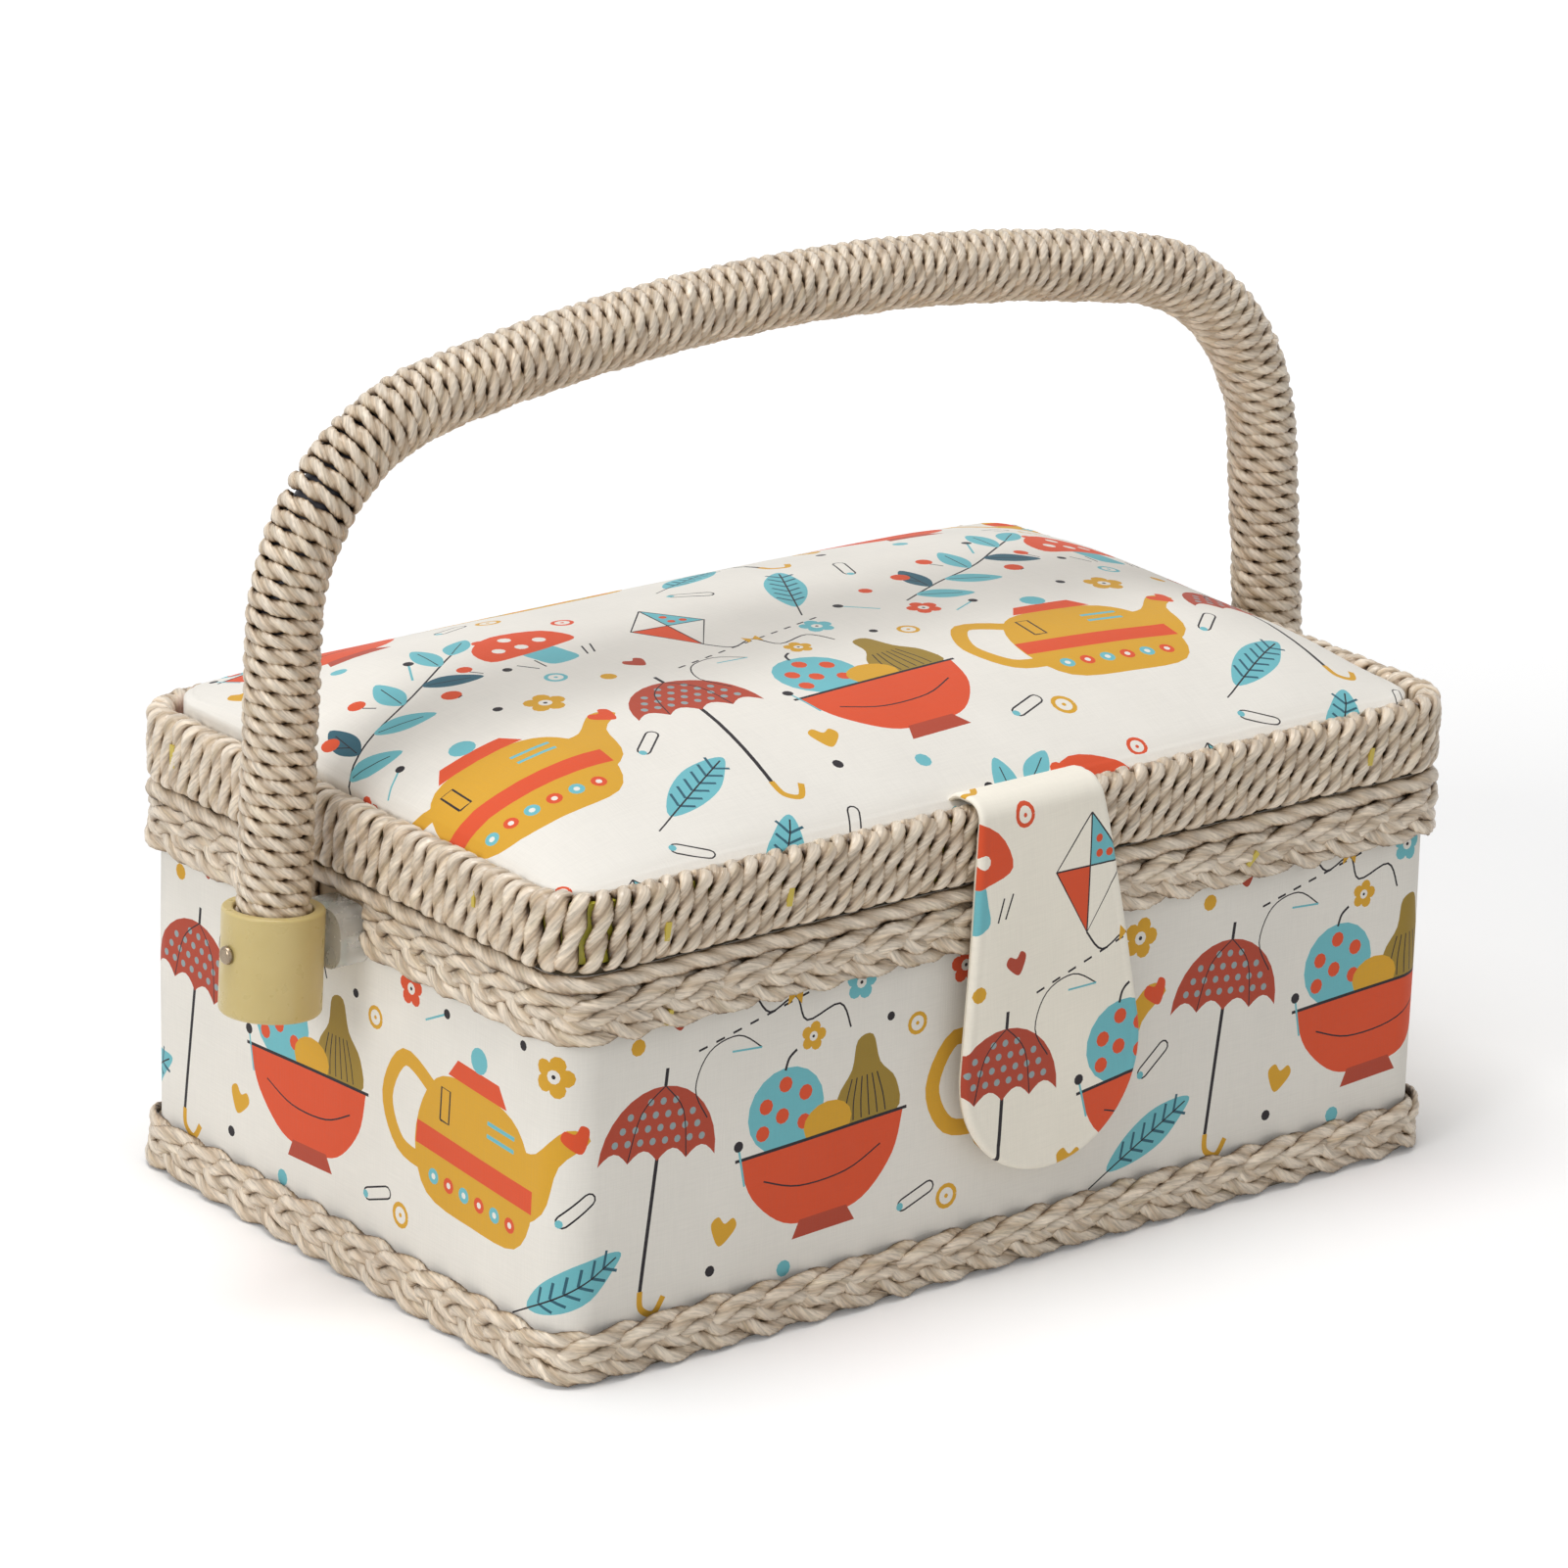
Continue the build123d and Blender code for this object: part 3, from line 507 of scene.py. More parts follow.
def rim_section():
    """One turn round the hoop: offsets out and up, outward direction, and share of the twist."""
    half_n = (RIM_T - RIM_CORD_D) / 2 - RIM_BEND_R
    half_z = (rim_high[2] - rim_low[2] - RIM_CORD_D) / 2 - RIM_BEND_R

    def bend(quarter, count, twist):
        sign_n, sign_z = QUARTERS[quarter]
        first = quarter * tau / 4
        for angle in np.linspace(first, first + tau / 4, count + 2)[1:-1]:
            rise, run = math.sin(angle), math.cos(angle)
            yield (sign_n * half_n + RIM_BEND_R * run, sign_z * half_z + RIM_BEND_R * rise,
                   run, rise, twist)

    face = half_n + RIM_BEND_R
    return np.array([*((face, z, 1, 0, 1) for z in np.linspace(-half_z, half_z, 11)),
                     *bend(0, 3, 1), *bend(1, 3, 1),
                     *((-face, z, -1, 0, 0) for z in (half_z, 0, -half_z)),
                     *bend(2, 1, 0), *bend(3, 3, 1)])


def rim_stations():
    """Lengths round the rim at which its turns start; most gaps are at the front left."""
    draw = random.Random(4)
    stations, s = [], 0.0
    while s < rim_loop.length:
        stations.append(s)
        share = min(sum(rim_loop.corner_share(s, c) for c in range(4)), 1)
        pitch = RIM_PITCH + (RIM_CORNER_PITCH - RIM_PITCH) * share
        pitch += draw.choice(LOOSE_GAPS) * rim_loop.corner_share(s, FRONT_LEFT)
        if draw.random() < GAP_CHANCE:
            pitch += GAP_MORE
        s += pitch + draw.uniform(-RIM_JITTER, RIM_JITTER)
    return np.array([*stations, s]) * rim_loop.length / s


def wind_rim():
    ends = rim_stations()
    turns = len(ends) - 1
    section = rim_section()
    share = np.arange(len(section)) / len(section)
    base = (ends[:-1, None] + np.diff(ends)[:, None] * share).ravel()
    out, up, out_n, up_n, twist = np.tile(section.T, turns)
    # the turns stand upright along the left end and lean on from the front left corner
    left_end, corner = rim_loop.corner(0)[0], rim_loop.corner(FRONT_LEFT)[-1]
    lean = RIM_LEAN * np.clip((base - corner - LEAN_FROM) / LEAN_OVER, 0, 1)
    lean = np.where(base < left_end, RIM_LEAN * LEAN_ON_BACK, lean)
    lean = lean + wander(base, 0.03, 7, 23.0, 61.0)
    point, normal = rim_loop.at(base + lean * up)
    loose = wander(base, 0.12, 9, 31.0, 47.0, 13.0)
    point = point + normal * (out + np.where(out > 0, loose, 0))[:, None]
    point[:, 2] = (rim_low[2] + rim_high[2]) / 2 + up
    outward = normal * out_n[:, None]
    outward[:, 2] = up_n
    spin = (run_of(point) * twist[1:]).sum() / turns
    plies = round(2 * spin / CORD_LAY) + RIM_PHASE
    # the cord has come untwisted a little on the left end
    looser = (plies - 1) / plies
    on_left = np.clip(np.minimum(base - left_end, corner - base) / UNTWIST_OVER, 0, 1)
    cords = Cords()
    cords.add(point, outward, RIM_CORD_R, lay=2 * spin / plies, flat=0.7, wide=1.2,
              groove=0.34 - 0.035 * on_left, twisting=twist * (1 + (looser - 1) * on_left))
    return cords.finish("rim_cord")


fit(wind_rim(), "lid", "cord", "rim_wrap")


STRIP_HALF_T = 0.9
BOX_CORNERS = np.array(list(itertools.product((-1, 1), repeat=3)))
BOX_FACES = ((0, 1, 3, 2), (4, 6, 7, 5), (0, 4, 5, 1), (2, 3, 7, 6), (0, 2, 6, 4), (1, 5, 7, 3))


def strips(name, body, spots):
    """Short strips of the hoop's plastic that work out between the cords."""
    verts, faces = [], []
    for *middle, degrees, half_w, half_h, lean in spots:
        turn_z, lean = math.radians(degrees), math.radians(lean)
        along = np.array([math.cos(turn_z), math.sin(turn_z), 0])
        outward = np.array([-along[1], along[0], 0])
        up = unit(along * math.sin(lean) + (0, 0, math.cos(lean)))
        reach = np.array([np.cross(up, outward) * half_w, outward * STRIP_HALF_T, up * half_h])
        faces += (np.array(BOX_FACES) + len(verts)).tolist()
        verts += (middle + BOX_CORNERS @ reach).tolist()
    made = piece(name, verts, faces, M_STRIP)
    made.data.shade_flat()
    fit(made, body, "hoop_plastic")


# each: x, y, z, direction in plan, half width, half height, lean
strips("rim_strips", "lid", [
    (-93.8, -76.7, 93.2, 0, 0.6, 1.9, 9), (-63.4, -76.7, 94.2, 0, 0.6, 1.9, 9),
    (92.2, -76.7, 94.1, 0, 0.6, 1.9, 9), (-118.85, -48.2, 96.4, -90, 0.45, 1.7, 0),
    (-118.85, 58.3, 95.5, -90, 0.8, 2.4, 0)])
strips("plait_strips", "root", [
    (60.1, -76.5, 77.6, 0, 0.6, 1.8, 48), (-92.4, -76.3, 74.8, 0, 0.5, 1.6, 10)])

# ---- wound handle
PIVOT = np.array([134.2, 0.0, 75.0])
LEG_SPLAY = math.radians(3.8)
HANDLE_TOP_Z = 191.0
CROWN_R = 476.0
SHOULDER_R = 46.0
HANDLE_LEAN = math.radians(2.4)
LEG_BELOW = 11.0
HANDLE_CORD_R = 1.6
WIND_R = 6.7
HANDLE_PITCH = 2.9
HANDLE_STEP = 0.5
HANDLE_ROWS = 32      # points in each turn
HANDLE_GAP_AT = 103.0
# shares by which the turns spread there, and over what lengths
HANDLE_GAPS = ((0.1, 24.0), (0.36, 2.2))


def handle_line():
    """Lengths and points of the upright handle's middle line from the left foot."""
    up = np.array([-math.sin(LEG_SPLAY), 0, math.cos(LEG_SPLAY)])
    inward = np.array([-math.cos(LEG_SPLAY), 0, -math.sin(LEG_SPLAY)])
    crown = np.array([0, 0, HANDLE_TOP_Z - CROWN_R])
    start = PIVOT + inward * SHOULDER_R - crown
    along = start @ up
    rise = -along + math.sqrt(along ** 2 - start @ start + (CROWN_R - SHOULDER_R) ** 2)
    leg_end = PIVOT + up * rise
    shoulder = leg_end + inward * SHOULDER_R
    crown_angle = math.atan2(*(shoulder - crown)[[2, 0]])

    def arc_points(middle, radius, first, last, count):
        angle = np.linspace(first, last, count)[1:]
        return middle + radius * np.stack([np.cos(angle), 0 * angle, np.sin(angle)], -1)

    leg_angle = math.atan2(-inward[2], -inward[0])
    half = np.vstack([PIVOT - up * LEG_BELOW, leg_end,
                      arc_points(shoulder, SHOULDER_R, leg_angle, crown_angle, 60),
                      arc_points(crown, CROWN_R, crown_angle, tau / 4, 80)])
    whole = np.vstack([half * (-1, 1, 1), half[-2::-1]])
    length = running(run_of(whole))
    s = np.arange(0, length[-1], HANDLE_STEP)
    return s, interpolated(s, length, whole)


def wind_handle():
    s, line = handle_line()
    pitch = HANDLE_PITCH * (1 + wander(s, 0.05, 3, 37.0, 83.0))
    for more, width in HANDLE_GAPS:
        pitch = pitch * (1 + more * np.exp(-((s - HANDLE_GAP_AT) / width) ** 2))
    turns = running(HANDLE_STEP / pitch[1:])
    t = np.arange(0, turns[-1], 1 / HANDLE_ROWS)
    at = np.interp(t, turns, s)
    tangent = unit(interpolated(at, s, unit(np.gradient(line, axis=0))))
    forwards = np.array([0, 1, 0])
    radial = (np.cos(tau * t)[:, None] * np.cross(tangent, forwards)
              + np.sin(tau * t)[:, None] * forwards)
    reach = WIND_R + wander(at, 0.1, 5, 17.0, 29.0)
    point = interpolated(at, s, line) + radial * reach[:, None]
    spin = np.array(Matrix.Rotation(-HANDLE_LEAN, 3, "X")).T
    foot = (0, 0, PIVOT[2])
    cords = Cords()
    cords.add((point - foot) @ spin + foot, radial @ spin, HANDLE_CORD_R, lay=11.6, flat=0.76,
              wide=1.19, groove=0.29, open_to=-0.05)
    return cords.finish("handle_cord")


fit(wind_handle(), "handle", "cord", "handle_wrap")

# ---- plaited trims
cover_low, cover_high = box_mm("box_cover")
COVER_CORNER_R = 8.7
cover_loop = Loop(cover_high[0] * 2, cover_high[1] * 2, COVER_CORNER_R)
PLAITS = 21
PLAIT_CORD_R = 1.56
PLAIT_SWAY = 2.8
PLAIT_SQUARE = 0.11
PLAIT_DEPTH = 0.72
PLAIT_OUT = 1.5
PLAIT_STEP = 1.35
PAIR_GAP = 2.9
PAIR_LIFT = 0.22
PLAIT_LAY, PLAIT_LAY_MORE = 18.2, 0.9      # of the first strand, and how much more each next one
PIVOT_BLOCK_HALF = 9.4


def plait(name, node, spans, seed):
    """Flat plait of three strands of two cords each, on the cover at a node's height."""
    low, high = box_mm(node)
    cords = Cords()
    period = cover_loop.length / PLAITS
    for strand, side, (first, last) in itertools.product(
            range(3), (-1, 1), spans or [(0.0, cover_loop.length)]):
        s = np.linspace(first, last, int((last - first) / PLAIT_STEP), endpoint=bool(spans))
        phase = tau * s / period + tau * strand / 3
        sway = PLAIT_SWAY * (1 + wander(s, 0.07, seed + strand, period * 3, period * 1.75))
        # flatter than a sine at the edges, so that they run nearly straight
        wave = np.sin(phase) + PLAIT_SQUARE * np.sin(3 * phase)
        slope = sway * tau / period * (np.cos(phase) + 3 * PLAIT_SQUARE * np.cos(3 * phase))
        across = PAIR_GAP / 2 * side / np.sqrt(1 + slope ** 2)
        point, normal = cover_loop.at(s - slope * across)
        lift = PLAIT_OUT + PLAIT_DEPTH * np.sin(2 * phase) + PAIR_LIFT * side * np.cos(phase)
        point = point + normal * lift[:, None]
        point[:, 2] = (low[2] + high[2]) / 2 + sway * wave + across
        # outward is tilted up, which also keeps the painted shade off the plait's upper side
        cords.add(point, unit(normal + (0, 0, 0.3)), PLAIT_CORD_R,
                  lay=PLAIT_LAY + PLAIT_LAY_MORE * strand, flat=0.66, wide=1.19, groove=0.24,
                  open_to=0.03, closed=not spans, start=seed + strand * 1.3 + side)
    fit(cords.finish(name), "root", "cord", node)


left, right = cover_loop.left, cover_loop.length - cover_loop.left
plait("lower_plait", "lower_braid", [], 11)
plait("upper_plait", "upper_braid",
      [(left + PIVOT_BLOCK_HALF, right - PIVOT_BLOCK_HALF),
       (right + PIVOT_BLOCK_HALF, cover_loop.length + left - PIVOT_BLOCK_HALF)], 23)

EDGE_CORD_R = 1.75
EDGE_CORD_OUT = 1.3
EDGE_CORD_STEP = 1.3
EDGE_CORD_SINK = 0.1


def edge_cord():
    low, high = box_mm("edge_cord")
    s = np.arange(0, cover_loop.length, EDGE_CORD_STEP)
    point, normal = cover_loop.at(s)
    point = point + normal * (EDGE_CORD_OUT + wander(s, 0.12, 31, 43.0, 19.0))[:, None]
    point[:, 2] = (low[2] + high[2]) / 2 - EDGE_CORD_SINK
    cords = Cords()
    # outward is tilted up, which also keeps the painted shade off the cord's top
    cords.add(point, unit(normal + (0, 0, 0.9)), EDGE_CORD_R, lay=19.0, flat=0.95, wide=1.12,
              groove=0.2, closed=True)
    fit(cords.finish("edge_twist"), "root", "cord", "edge_cord")


edge_cord()

# ---- the cotton's print
INKS = {
    "cloth": CLOTH,
    "mustard": srgb(222, 168, 50),
    "orange": srgb(226, 86, 48),
    "teal": srgb(116, 192, 202),
    "deep": srgb(52, 98, 114),
    "brown": srgb(182, 74, 52),
    "grey": srgb(152, 168, 170),
    "olive": srgb(160, 132, 54),
    "black": srgb(38, 33, 38),
    # painted shade, for the cloth that shows in the gaps behind the trims
    "trim_gap_shade": srgb(176, 154, 128),
}


def curve(points, closed=False, steps=5):
    """Smooth line through points."""
    p = np.array(points, dtype=float)
    p = np.vstack([p[-1:], p, p[:2]] if closed else [p[:1], p, p[-1:]])
    a, b, c, d = (p[i:len(p) - 3 + i, None] for i in range(4))
    t = (np.arange(steps) / steps)[:, None]
    rows = 0.5 * (2 * b + (c - a) * t + (2 * a - 5 * b + 4 * c - d) * t * t
                  + (3 * b - a - 3 * c + d) * t ** 3)
    return np.vstack([rows.reshape(-1, 2), *([] if closed else [p[-1:]])])


def blob(ink, *points):
    return [(ink, curve(points, True, 4))]


def shape(ink, *points):
    return [(ink, np.array(points, dtype=float))]


def disc(ink, x, y, rx, ry=None, count=14):
    a = np.arange(count) * tau / count
    return [(ink, np.stack([x + rx * np.cos(a), y + (ry or rx) * np.sin(a)], -1))]


def discs(ink, r, *places):
    return [row for x, y in places for row in disc(ink, x, y, r, count=10)]


def stroke(ink, points, width):
    """Line of even width as mitred quads."""
    p = np.array(points, dtype=float)
    t = unit(np.gradient(p, axis=0))
    n = np.stack([-t[:, 1], t[:, 0]], -1) * width / 2
    a, b = p + n, p - n
    return [(ink, np.array([b[i], b[i + 1], a[i + 1], a[i]])) for i in range(len(p) - 1)]


def dashes(ink, start, end, count, width):
    p = np.linspace(start, end, count * 2)
    return [row for i in range(0, count * 2, 2) for row in stroke(ink, p[i:i + 2], width)]


def turned(motif, x, y, degrees, size):
    c, s = math.cos(math.radians(degrees)) * size, math.sin(math.radians(degrees)) * size
    spin = np.array([[c, s], [-s, c]])
    return [(ink, points @ spin + (x, y)) for ink, points in motif]


def circle(r, count, first=0.0, last=tau, squash=1.0):
    angle = np.linspace(first, last, count)
    return np.stack([r * np.cos(angle), r * squash * np.sin(angle)], -1)


def teapot():
    out = blob("mustard", (14, -9), (23, -4), (26, 7), (32, 13), (27, 15), (20, 8), (14, 5))
    out += stroke("mustard", curve([(-15, 8), (-25, 11), (-30, 1), (-25, -8), (-15, -9)]), 3.6)
    out += blob("mustard", (-15, -15), (0, -16.5), (15, -15), (20, -5), (17, 7), (9, 13),
                (-9, 13), (-17, 7), (-20, -5))
    out += shape("orange", (-19.7, -5.5), (19.8, -5.5), (19.6, -0.5), (-19.6, -0.5))
    out += shape("orange", (-10, 13.2), (10, 13.2), (7, 17.4), (-7, 17.4))
    out += disc("teal", 0, 20, 2.8)
    out += stroke("black", [(-12, 2.4), (-12, 9.6), (-9, 9.6), (-9, 2.4), (-12, 2.4)], 0.5)
    for y in (8.2, 5.4):
        out += stroke("teal", [(4, y), (13, y)], 0.9)
    for i in range(6):
        x = -13 + 5.2 * i
        out += disc(("teal", "orange")[i % 2], x, -10.6, 1.7, count=12)
        out += disc("cloth", x, -10.6, 0.7, count=8)
    return out


def umbrella():
    x = np.linspace(-16, 16, 25)[1:-1]
    hem = np.stack([x, 2.6 * abs(np.sin(tau / 2 * (x + 16) / 8))], -1)
    out = stroke("black", [(0, 1), (0, -30)], 1.0)
    out += stroke("mustard", curve([(0, -30), (0.8, -34), (4.4, -35.4), (6.6, -31.6)]), 1.5)
    out += [("brown", np.vstack([circle(16, 17, last=tau / 2, squash=17 / 16), hem]))]
    out += stroke("black", [(0, 17), (0, 21)], 0.9)
    out += discs("grey", 0.85, *((x, y) for j, y in enumerate((4.6, 7.6, 10.6, 13.6))
                                 for x in np.arange(-12 + 1.7 * (j % 2), 13, 3.4)
                                 if (x / 14) ** 2 + (y / 15.4) ** 2 < 1))
    for x in (-8, 8):
        out += stroke("black", curve([(0, 17), (x * 0.72, 11), (x, 0.4)]), 0.3)
    return out


def leaf(ink, x, y, degrees, size):
    form = blob(ink, (0, 0), (4, 3.1), (9, 2.9), (14, 0), (9, -2.7), (4, -2.7))
    return turned(form + stroke("black", [(1, 0), (11, 0.1)], 0.28), x, y, degrees, size)


def sprig():
    stem = curve([(-27, -11), (-12, -5), (6, 1), (27, 13)])
    out = stroke("black", stem, 0.5)
    for i, t in enumerate((2, 4, 6, 9, 11, 13)):
        ink = ("teal", "deep", "teal")[i % 3]
        out += leaf(ink, *stem[t], 25 + (-52, 52)[i % 2], 0.98)
    out += leaf("teal", 26, 12.5, 36, 0.9)
    for x, y, r in ((-16, 3, 2.3), (-3, 9, 2.0), (11, -6, 2.3), (22, 3, 1.8)):
        out += disc("orange", x, y, r)
        out += stroke("black", [(x, y - r), (x + 1.4, y - r - 3.0 if y > 0 else y - r + 0.4)], 0.35)
    return out


def bowl():
    out = disc("teal", -9, 10, 9.6, 9.2, 20)
    out += discs("orange", 1.7, (-14, 12), (-9, 15.6), (-4, 12.6), (-10, 9), (-15, 6.4), (-4.6, 6.4))
    out += stroke("black", curve([(-9, 18.6), (-8, 21), (-6, 22.4)]), 0.6)
    out += blob("olive", (4, 2), (4.2, 9), (8, 14), (9.6, 20), (13.6, 20.4), (15.4, 14),
                (19.4, 9), (19, 2))
    for i in range(6):
        out += stroke("black", curve([(6 + 2.1 * i, 3), (6.4 + 1.9 * i, 7), (8 + 1.3 * i, 12)]), 0.3)
    out += disc("mustard", 1.5, 4.5, 6.2, 4.6, 16)
    out += shape("orange", *curve([(-21, 2), (-18, -7), (-10, -14.5), (0, -16), (10, -14.5),
                                   (18, -7), (21, 2)]))
    out += shape("brown", (-8, -18.8), (8, -18.8), (6, -15), (-6, -15))
    out += stroke("black", [(-22, 2.2), (22, 2.2)], 0.7)
    return out + stroke("black", curve([(-15, -4), (-6, -7.4), (6, -7.4), (15, -4)]), 0.35)


def mushroom():
    out = blob("teal", (-3.6, 0), (3.6, 0), (4.4, -6), (3.4, -10.6), (-3.4, -10.6), (-4.4, -6))
    out += blob("orange", (-12, -0.4), (-10, 7.6), (0, 12.6), (10, 7.6), (12, -0.4), (5, -1.8),
                (-5, -1.8))
    out += discs("cloth", 1.5, (-6, 3.6), (0, 8.2), (5.4, 3.4), (-0.6, 2.4))
    for x, tip in ((-8, -10), (-6, -5), (6, 8.6), (8, 11)):
        out += stroke("black", [(x, -10.6), (tip, -6)], 0.4)
    return out


def kite():
    out = shape("teal", (0, 2), (10, 2), (0, 15)) + shape("orange", (0, 2), (-10, 2), (0, -14))
    out += discs("orange", 1.0, (2.6, 4.6), (5.6, 4.4), (2.4, 8.2))
    for line in ([(0, 15), (10, 2), (0, -14), (-10, 2), (0, 15)], [(-10, 2), (10, 2)],
                 [(0, 15), (0, -14)]):
        out += stroke("black", line, 0.4)
    tail = curve([(0, -14), (5, -19), (12, -16), (16, -22), (25, -19), (29, -25)])
    out += stroke("black", tail, 0.5) + dashes("black", (-14, -26), (34, -9), 11, 0.55)
    return out + shape("mustard", (10, -14), (14, -18), (14, -14), (10, -18))


def feather():
    out = blob("teal", (-17, 0), (-8, 4.8), (4, 6.2), (14, 3.6), (19, 0), (14, -3), (4, -5.8),
               (-8, -4.4))
    for x in np.arange(-11, 14, 4.6):
        for y in (4.2, -3.8):
            out += stroke("deep", [(x, 0), (x + 3.4, y)], 0.9)
    return out + stroke("black", [(-25, -0.6), (17, 0)], 0.5)


def flower(ink):
    out = [row for x, y in circle(2.7, 6)[:5] for row in disc(ink, x, y, 1.9, count=10)]
    return out + disc("cloth", 0, 0, 1.5, count=10) + disc("black", 0, 0, 0.5, count=6)


def heart(ink):
    return blob(ink, (0, -4.4), (3, -1.4), (4.4, 1.8), (2.6, 3.8), (0.2, 2), (-2.4, 3.8),
                (-4.4, 1.8), (-3, -1.4))


def ring(ink):
    return stroke(ink, circle(2.6, 15), 1.1) + disc(ink, 0, 0, 0.6, count=6)


def capsule():
    end = circle(1.3, 6, tau / 4, tau * 3 / 4) - (3.6, 0)
    return stroke("black", np.vstack([end, -end, end[:1]]), 0.4) + disc("teal", -4.4, 0, 0.9, count=8)


def sprout():
    return stroke("teal", [(0, -9), (0.6, -1)], 0.5) + disc("black", 0.7, 0, 1.2, count=10)


def arc():
    out = stroke("black", curve([(-14, -8), (-15, 4), (-6, 13), (6, 12), (13, 3)]), 0.5)
    return out + stroke("teal", [(13, 3), (2, 8)], 0.7)


# the tile's motifs, each with its place, turn in degrees and size
TILE_W, TILE_H = 149.3, 100.0
TILE = [
    (teapot(), 30, 30, -4, 1.0), (umbrella(), 79, 33, -7, 0.92), (bowl(), 121, 27, 3, 1.0),
    (sprig(), 33, 76, 4, 0.95), (mushroom(), 72, 82, 8, 1.0), (kite(), 104, 76, -6, 0.9),
    (feather(), 59, 9, 28, 0.7), (feather(), 141, 84, 60, 0.75), (arc(), 98, 47, 20, 0.62),
    (flower("mustard"), 55, 54, 0, 1.0), (flower("orange"), 8, 58, 20, 0.85),
    (flower("teal"), 130, 60, 10, 0.85), (heart("orange"), 60, 41, 20, 0.7),
    (heart("mustard"), 96, 14, -15, 0.75), (ring("mustard"), 145, 48, 0, 0.8),
    (ring("orange"), 88, 93, 0, 0.8), (ring("teal"), 65, 64, 0, 0.8),
    (capsule(), 60, 26, 40, 1.0), (capsule(), 122, 93, -30, 1.0), (capsule(), 12, 90, 70, 1.0),
    (capsule(), 146, 10, 20, 1.0), (sprout(), 47, 92, -25, 1.0), (sprout(), 99, 31, 15, 1.0),
    (sprout(), 142, 68, 50, 1.0), (sprout(), 20, 57, -60, 0.9), (heart("brown"), 84, 62, 10, 0.6),
    (ring("mustard"), 5, 8, 0, 0.9), (flower("mustard"), 118, 51, 5, 0.7),
]
DOTS = [("black", 1.1, 46, 58), ("black", 1.2, 93, 6), ("orange", 1.9, 66, 92),
        ("black", 1.0, 138, 51), ("mustard", 1.8, 74, 58), ("orange", 1.6, 5, 74),
        ("teal", 1.8, 112, 2), ("black", 1.1, 60, 74)]
tile_shapes = [row for placed in TILE for row in turned(*placed)]
tile_shapes += [row for ink, r, x, y in DOTS for row in discs(ink, r, (x, y))]


def inside(points, polygon):
    """Which points lie in a polygon."""
    x, y = points.T
    result = np.zeros(len(points), dtype=bool)
    for (x1, y1), (x2, y2) in zip(polygon, np.roll(polygon, -1, 0)):
        if y1 != y2:
            result ^= ((y1 > y) != (y2 > y)) & (x < (x2 - x1) * (y - y1) / (y2 - y1) + x1)
    return result


def tiled(low, high, shift, brick):
    """The print's shapes that reach an area; brick is how far every other row moves along."""
    tile = np.array([TILE_W, TILE_H])
    first = np.floor((low - shift) / tile).astype(int)
    last = np.ceil((high - shift) / tile).astype(int)
    for row in range(first[1] - 1, last[1] + 1):
        for column in range(first[0] - 2, last[0] + 2):
            corner = shift + (column + brick * (row % 2), row) * tile
            for ink, points in tile_shapes:
                if ((points + corner).max(0) > low).all() and ((points + corner).min(0) < high).all():
                    yield ink, points + corner


def cut_cloth(outline, ties, shift=None, brick=0.0):
    """Flat cloth with its print as one layer: points, triangles and inks. Ties are lines that
    the triangles keep to, so that the cloth can bend there."""
    layers = [("cloth", outline)]
    if shift is not None:
        layers += tiled(outline.min(0), outline.max(0), np.array(shift), brick)
    points, around, edges = [], [], []
    for _, p in layers:
        own = len(points) + np.arange(len(p))
        around += np.column_stack([np.roll(own, 1), own]).tolist()
        points += p.tolist()
    for line in ties:
        edges += [(len(points) + i, len(points) + i + 1) for i in range(len(line) - 1)]
        points += np.asarray(line).tolist()
    result = geometry.delaunay_2d_cdt([Vector(p) for p in points], edges + around, [], 0, 1e-4, False)
    flat, triangles = np.array([v[:] for v in result[0]]), np.array([t[:] for t in result[2]])
    middle = flat[triangles].mean(axis=1)
    top = np.full(len(triangles), -1)
    for i, (_, p) in enumerate(layers):
        near = np.nonzero((middle >= p.min(0)).all(1) & (middle <= p.max(0)).all(1))[0]
        top[near[inside(middle[near], p)]] = i
    kept = inside(middle, outline)
    used, index = np.unique(triangles[kept], return_inverse=True)
    inks = np.array([INKS[layers[i][0]] for i in top[kept]])
    return flat[used], index.reshape(-1, 3).tolist(), inks


def boundary(triangles):
    """Directed edges that only one triangle has."""
    edges = {(t[i], t[(i + 1) % 3]) for t in triangles for i in range(3)}
    return [(a, b) for a, b in edges if (b, a) not in edges]


def face_normals(place, flat, step=0.05):
    """Normals of the placed cloth, from small steps on the flat."""
    du = place(flat + (step, 0)) - place(flat - (step, 0))
    dv = place(flat + (0, step)) - place(flat - (0, step))
    return unit(np.cross(du, dv))


def level(flat):
    return np.column_stack([flat, np.zeros(len(flat))])


def sheet_piece(name, cut, place, thickness, material):
    """Cloth with a printed face, a plain back and cut edges; below nought, it is turned over."""
    flat, triangles, inks = cut
    if thickness < 0:
        triangles = [t[::-1] for t in triangles]
    front = place(flat)
    normals = face_normals(place, flat)
    count = len(flat)
    edge = boundary(triangles)
    faces = (triangles + [[c + count for c in reversed(t)] for t in triangles]
             + [[b, a, a + count, b + count] for a, b in edge])
    colours = np.vstack([inks, np.tile(CLOTH, (len(triangles) + len(edge), 1))])
    facing = normals * math.copysign(1, thickness)
    return piece(name, np.vstack([front, front - normals * thickness]), faces, material,
                 {"flat": np.vstack([level(flat)] * 2)}, colours, np.vstack([facing, -facing]))


def padded_piece(name, flat, triangles, front, back, material, colours=None):
    """Closed form of two placed faces of one cut, joined at its edge."""
    edge = {i for pair in boundary(triangles) for i in pair}
    inner = [i for i in range(len(flat)) if i not in edge]
    other = {i: i for i in edge} | {i: len(flat) + k for k, i in enumerate(inner)}
    faces = triangles + [[other[c] for c in reversed(t)] for t in triangles]
    return piece(name, np.vstack([front, back[inner]]), faces, material,
                 {"flat": np.vstack([level(flat), level(flat[inner])])}, colours)


